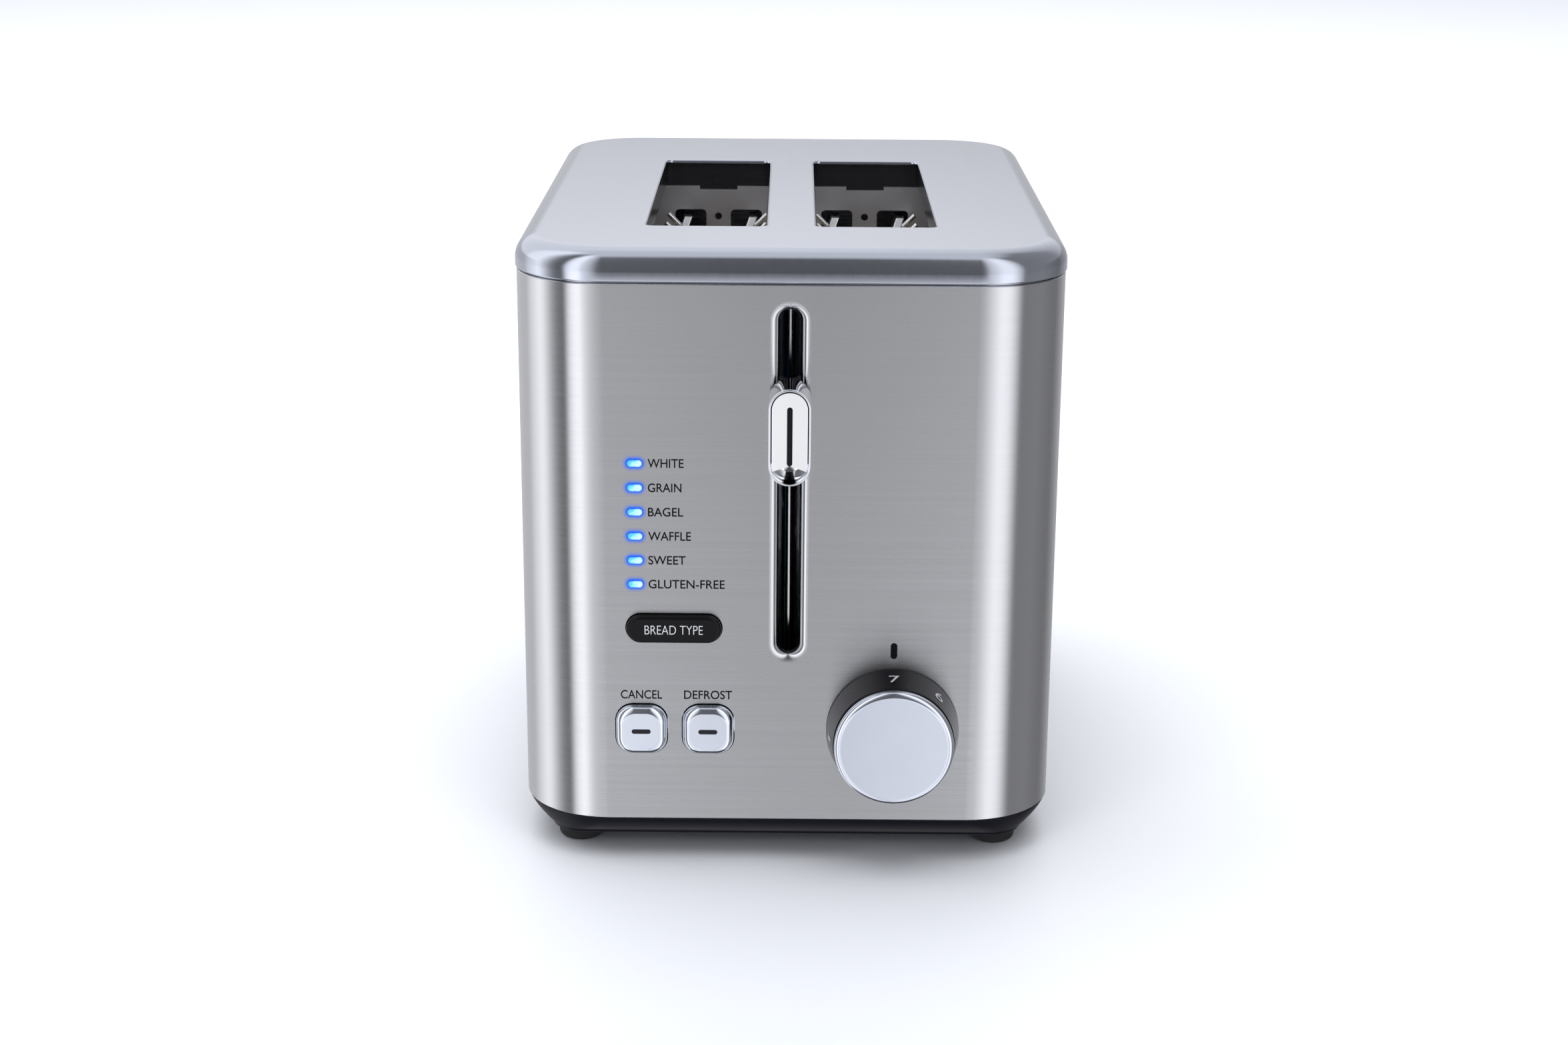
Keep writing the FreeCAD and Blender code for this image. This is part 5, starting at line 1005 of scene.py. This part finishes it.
plate_side = ((0.0, face_high[1]), (0.0, face_low[1] + PLATE_ROUND), (PLATE_ROUND / 3, face_low[1] + 0.04),
              (PLATE_ROUND, face_low[1]))
flat_part = skin([facing(plate_outline(shrink), y) for shrink, y in plate_side])
cone = bmesh.new()
tip = cone.verts.new((lever_x, face_low[1], arc_low))
heel = cone.verts.new((lever_x, face_high[1], arc_low))
rim = [(lever_x + plate_radius * cosine, arc_low + plate_radius * sine)
       for sine, cosine in arc(180 + CONE_EDGE, 360 - CONE_EDGE, CONE_STEPS)]
near = [cone.verts.new((x, face_low[1] + CONE_FALL, z)) for x, z in rim]
far = [cone.verts.new((x, face_high[1], z)) for x, z in rim]
for step in range(CONE_STEPS):
    cone.faces.new((tip, near[step], near[step + 1]))
    cone.faces.new((heel, far[step + 1], far[step]))
    cone.faces.new((near[step], far[step], far[step + 1], near[step + 1]))
cone.faces.new((tip, heel, far[0], near[0]))
cone.faces.new((tip, near[-1], far[-1], heel))
bmesh.ops.recalc_face_normals(cone, faces=cone.faces)
plate = build("lever_plate", [flat_part, cone], plate_chrome)
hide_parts("lever_face")
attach(plate, "carriage")

inlay_low, inlay_high = limits("lever_inlay")
inlay_side = ((-0.2, inlay_low[1]), (0.0, inlay_low[1] + 0.12), (0.0, inlay_high[1]))
line_part = skin([facing(stadium(inlay_low[0], inlay_high[0], inlay_low[2], inlay_high[2], grow), y)
                  for grow, y in inlay_side])
inlay = build("lever_line", [line_part], gloss_black)
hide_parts("lever_inlay")
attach(inlay, "carriage")


# ---- Browning knob ---------------------------------------------------------------------------------------
# A satin black skirt widens towards the front of the toaster and carries the figures 1 to 7; a
# thick chromed cap with a rolled edge is pressed on its end.  Both turn on a steel shaft.

cap_low, cap_high = limits("browning_dial_cap")
cap_radius = (cap_high[0] - cap_low[0]) / 2
NECK_RADIUS, CAP_ROLL, CAP_CREASE, KNOB_STEPS = 19.1, 1.6, 0.08, 24
BORE, HUB, HUB_BACK, DIAL_WALL, DIAL_EDGE, DIAL_GAP = 3.1, 6.5, 3.5, 2.0, 0.35, 0.5
skirt_back = front - DIAL_GAP
skirt_front = cap_high[1]


def knob_loop(radius, y):
    """A circle about the knob's axis."""
    return facing(ring(knob_x, knob_z, radius, KNOB_STEPS), y)


satin_dial = Paint("dial_black", IOR=1.5, Specular_IOR_Level=0.18)
grain = satin_dial.noise((1500.0, 1500.0, 1500.0), 2.0)
scuff = satin_dial.clamp(satin_dial.noise((260.0, 420.0, 900.0), 4.0, 0.7), 0.66, 0.74)
satin_dial.bump(grain, 0.000012)
dial_black = satin_dial.wear(
    Base_Color=satin_dial.tint(scuff * 0.5, (0.007, 0.007, 0.009), (0.12, 0.12, 0.13)),
    Roughness=0.18 + grain * 0.08 + scuff * 0.15)
dial_side = ((BORE, front + HUB_BACK), (HUB, front + HUB_BACK), (HUB, skirt_front + 2.2),
             (NECK_RADIUS - DIAL_WALL, skirt_front + 2.2), (knob_radius - DIAL_WALL, skirt_back),
             (knob_radius - DIAL_EDGE, skirt_back), (knob_radius, skirt_back - DIAL_EDGE),
             (NECK_RADIUS, skirt_front + 0.2), (NECK_RADIUS - 0.25, skirt_front), (BORE, skirt_front))
dial = build("dial_skirt", [skin([knob_loop(radius, y) for radius, y in dial_side], joined=True)],
             dial_black)
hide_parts("browning_dial")
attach(dial, "browning_knob")

cap_side = [(cap_radius - CAP_ROLL - 0.6, cap_low[1])]
cap_side += [(cap_radius - CAP_ROLL * (1 - sine),
              cap_low[1] + CAP_CREASE + (CAP_ROLL - CAP_CREASE) * (1 - cosine))
             for sine, cosine in arc(0, 90, 12)]
cap_side += [(cap_radius, cap_high[1] - 0.3), (cap_radius - 0.25, cap_high[1])]
cap = build("dial_cap", [skin([knob_loop(radius, y) for radius, y in cap_side])], chrome, 50.0)
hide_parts("browning_dial_cap")
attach(cap, "browning_knob")
cover_with(screw_steel, "browning_shaft")


# ---- Mains gland --------------------------------------------------------------------------------------
# A rubber bush in the back wall takes the mains lead: a round flange outside, a collar inside
# and a plain bore between them.

cover_with(rubber, "cord_gland")


# ---- Lettering ------------------------------------------------------------------------------------------
# The words are printed on the steel and on the bread type button in plain thin capitals, with a
# short mark above the knob; the figures are printed round the knob's skirt with their heads
# towards the wall, and rise anticlockwise.


def ink(name, colour):
    """Screen-printed ink, slightly uneven."""
    paint = Paint(name, IOR=1.45, Specular_IOR_Level=0.1)
    patch = paint.noise((900.0, 900.0, 900.0), 3.0)
    paint.bump(patch, 0.000004)
    return paint.wear(Base_Color=paint.tint(patch, [value * 0.85 for value in colour], colour),
                      Roughness=0.4 + patch * 0.15)


ink_black = ink("ink_black", (0.004, 0.004, 0.005))
ink_white = ink("ink_white", (0.86, 0.86, 0.87))
ink_grey = ink("ink_grey", (0.55, 0.56, 0.58))
INK = 0.03


def lettering(text, weight):
    """A thin mesh of some letters, stretched to fill 0 to 1 across, up and outwards."""
    letters = bpy.data.curves.new("letters", "FONT")
    letters.body = text
    letters.offset = weight
    letters.extrude = 0.01
    letters.resolution_u = 6
    holder = bpy.data.objects.new("letters", letters)
    bpy.context.scene.collection.objects.link(holder)
    bpy.context.view_layer.update()
    mesh = bpy.data.meshes.new_from_object(holder.evaluated_get(bpy.context.evaluated_depsgraph_get()))
    bpy.data.objects.remove(holder)
    spots = [vertex.co for vertex in mesh.vertices]
    low = [min(spot[axis] for spot in spots) for axis in range(3)]
    high = [max(spot[axis] for spot in spots) for axis in range(3)]
    for vertex in mesh.vertices:
        vertex.co = Vector(((vertex.co.x - low[0]) / (high[0] - low[0]),
                            (vertex.co.y - low[1]) / (high[1] - low[1]),
                            (vertex.co.z - low[2]) / (high[2] - low[2])))
    return mesh


def printed(name, meshes, finish, body):
    """Joins letter meshes that are in place into one piece of print."""
    whole = bmesh.new()
    for mesh in meshes:
        whole.from_mesh(mesh)
        bpy.data.meshes.remove(mesh)
    bmesh.ops.remove_doubles(whole, verts=whole.verts, dist=1e-5)
    piece = build(name, [whole], finish)
    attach(piece, body)


def word(text, x_low, x_high, z_low, z_high, y, weight=0.009):
    """A word stood up on the front, between its left and right and its foot and head."""
    mesh = lettering(text, weight)
    for vertex in mesh.vertices:
        across, up, out = vertex.co
        vertex.co = Vector((x_low + across * (x_high - x_low), y - INK * out, z_low + up * (z_high - z_low)))
    return mesh


LABEL_X, LABEL_TALL, OVER_LOW, OVER_HIGH = -43.7, 2.85, 55.4, 58.3
TYPE_HALF, TYPE_TALL, INK_SUNK = 9.1, 1.45, 0.02
LABELS = (("WHITE", 11.1), ("GRAIN", 10.4), ("BAGEL", 10.9), ("WAFFLE", 13.3), ("SWEET", 11.6),
          ("GLUTEN-FREE", 23.8))
words = [word(text, LABEL_X, LABEL_X + wide, LENS_TOP - LENS_PITCH * place - LABEL_TALL / 2,
              LENS_TOP - LENS_PITCH * place + LABEL_TALL / 2, front)
         for place, (text, wide) in enumerate(LABELS)]
words += [word(text, x_low, x_high, OVER_LOW, OVER_HIGH, front)
          for text, x_low, x_high in (("CANCEL", -52.8, -39.7), ("DEFROST", -32.8, -17.6))]
printed("front_words", words, ink_black, "housing")
printed("bread_type_words", [word("BREAD TYPE", type_x - TYPE_HALF, type_x + TYPE_HALF, type_z - TYPE_TALL,
                                  type_z + TYPE_TALL, type_face + INK_SUNK, -0.012)],
        ink_white, "bread_type")

MARK_HALF, MARK_LOW, MARK_HIGH = 1.05, 69.4, 74.7
mark_outline = stadium(knob_x - MARK_HALF, knob_x + MARK_HALF, MARK_LOW, MARK_HIGH)
mark = build("knob_mark", [skin([facing(mark_outline, y) for y in (front, front - INK)])], ink_black)
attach(mark, "housing")

FIGURES, FIGURE_STEP, FIGURE_WIDE, FIGURE_TALL = 7, 45.0, 3.3, 4.2
FIGURE_FROM_WALL, FIGURE_LIFT, ONE_WIDE = 4.4, 0.07, 0.45
slant = math.hypot(skirt_back - skirt_front, knob_radius - NECK_RADIUS)
figures = []
for figure in range(1, FIGURES + 1):
    mesh = lettering(str(figure), 0.0)
    wide = FIGURE_WIDE * (ONE_WIDE if figure == 1 else 1.0)
    for vertex in mesh.vertices:
        across, up, out = vertex.co
        share = (FIGURE_FROM_WALL + (1 - up) * FIGURE_TALL) / slant
        radius = knob_radius + (NECK_RADIUS - knob_radius) * share + INK * out + FIGURE_LIFT
        turn = math.radians(FIGURE_STEP * (FIGURES - figure)) + (across - 0.5) * wide / radius
        vertex.co = Vector((knob_x + radius * math.sin(turn),
                            skirt_back + (skirt_front - skirt_back) * share,
                            knob_z + radius * math.cos(turn)))
    figures.append(mesh)
printed("dial_figures", figures, ink_grey, "browning_knob")


# ---- Stage ------------------------------------------------------------------------------------------------
# A pale floor in soft studio light.  The surroundings are bright to the left and right of the
# camera and dark between and beyond, and two soft lights hang overhead and behind.

floor_mesh = bpy.data.meshes.new("floor")
FLOOR_HALF = 6.0
floor_mesh.from_pydata([(-FLOOR_HALF, -FLOOR_HALF, 0), (FLOOR_HALF, -FLOOR_HALF, 0),
                        (FLOOR_HALF, FLOOR_HALF, 0), (-FLOOR_HALF, FLOOR_HALF, 0)], [], [(0, 1, 2, 3)])
floor = bpy.data.objects.new("floor", floor_mesh)
bpy.context.scene.collection.objects.link(floor)
pale = Paint("floor_pale", Roughness=0.6)
floor_mesh.materials.append(pale.wear(Base_Color=pale.tint(pale.noise((3.0, 3.0, 3.0)), (0.80, 0.82, 0.86),
                                                           (0.82, 0.84, 0.88))))
floor.visible_glossy = False

world = bpy.data.worlds.new("studio")
bpy.context.scene.world = world
world.use_nodes = True


class Room(Paint):
    """The nodes of the surroundings, which are seen by direction."""

    def __init__(self):
        self.tree = world.node_tree
        self.shader = self.tree.nodes["Background"]


room = Room()
direction = room.node("ShaderNodeTexCoord", output="Generated")
x, y, z = [room.node("ShaderNodeSeparateXYZ", None, {0: direction}, axis) for axis in range(3)]
bearing = room.node("ShaderNodeMath", {"operation": "ARCTAN2"}, {0: x, 1: 0 - y})
bearing = bearing / (2 * math.pi) + 0.5
LEFT_SIDES = (
    (-180, 1.0), (-122, 1.0), (-117, 1.2), (-111, 1.32), (-93, 1.42), (-84, 1.0), (-77, 0.62),
    (-71, 0.35), (-64, 0.2), (-55, 0.15), (-52, 0.6), (-48, 1.25), (-42, 1.55), (-34, 1.55), (-29, 1.1),
    (-22, 0.85))
RIGHT_SIDES = (
    (17, 0.85), (25, 1.1), (34, 1.42), (45, 1.38), (51, 1.1), (57, 0.7), (62, 0.26),
    (125, 0.33), (142, 0.6), (180, 1.0))
HIGH_FRONT = ((-10, 0.2), (0, 0.13), (10, 0.2))
LOW_FRONT = ((-10, 1.08), (-3, 0.94), (0.6, 0.75), (4, 0.92), (10, 1.12))


def bearings(front_part):
    """A ramp of brightness by bearing, with its own part towards the front."""
    stops = [(0.5 + angle / 360, (bright * 0.97, bright * 0.98, bright * 1.02))
             for angle, bright in LEFT_SIDES + front_part + RIGHT_SIDES]
    return room.node("ShaderNodeValToRGB", {"stops": stops}, {0: bearing})


around = room.tint(room.clamp(z, -0.235, -0.185), bearings(LOW_FRONT), bearings(HIGH_FRONT))
behind = room.clamp(y, 0.0, 0.5)
horizon = 1 + behind * (room.clamp(z, 0.135, 0.19) * 0.42 - 0.38)
glare = 1 + room.clamp(z, -0.33, -0.27) * (1 - room.clamp(z, -0.2, -0.1)) * 0.12
below = room.clamp(z, -0.90, -0.84) * 0.92 + 0.08
lit = room.tint(room.clamp(z, 0.9, 0.99), around, (0.8, 0.82, 0.86))
room.feed(room.shader, {"Color": lit, "Strength": horizon * glare * below})


def softbox(name, spot, aim, wide, tall, power):
    """A soft light at a spot, turned to an aim, which gloss doesn't show."""
    lamp = bpy.data.lights.new(name, "AREA")
    lamp.shape = "RECTANGLE"
    lamp.size = wide
    lamp.size_y = tall
    lamp.energy = power
    holder = bpy.data.objects.new(name, lamp)
    holder.location = spot
    holder.rotation_euler = (Vector(aim) - Vector(spot)).to_track_quat("-Z", "Y").to_euler()
    holder.visible_glossy = False
    bpy.context.scene.collection.objects.link(holder)


softbox("overhead_light", (0.0, -0.2, 2.4), (0.0, 0.0, 0.0), 2.6, 2.6, 40.0)
softbox("back_light", (0.0, 2.2, 2.2), (0.0, 0.8, 0.0), 3.0, 1.6, 30.0)

LENS_MM, SENSOR_MM = 58.43, 36.0
CAMERA_SPOT = (0.000163, -0.8694, 0.34182)
CAMERA_PITCH, CAMERA_YAW, CAMERA_ROLL = 0.2931, -0.0023, 0.0072
ahead = Vector((math.sin(CAMERA_YAW) * math.cos(CAMERA_PITCH),
                math.cos(CAMERA_YAW) * math.cos(CAMERA_PITCH), -math.sin(CAMERA_PITCH)))
beside = Vector((math.cos(CAMERA_YAW), -math.sin(CAMERA_YAW), 0))
above = beside.cross(ahead)
across = math.cos(CAMERA_ROLL) * beside + math.sin(CAMERA_ROLL) * above
upward = math.cos(CAMERA_ROLL) * above - math.sin(CAMERA_ROLL) * beside
view = bpy.data.cameras.new("camera")
view.lens = LENS_MM
view.sensor_width = SENSOR_MM
camera = bpy.data.objects.new("camera", view)
attitude = Matrix((across, upward, -ahead)).transposed().to_4x4()
camera.matrix_world = Matrix.Translation(CAMERA_SPOT) @ attitude
bpy.context.scene.collection.objects.link(camera)
bpy.context.scene.camera = camera
bpy.context.scene.view_settings.view_transform = "Standard"
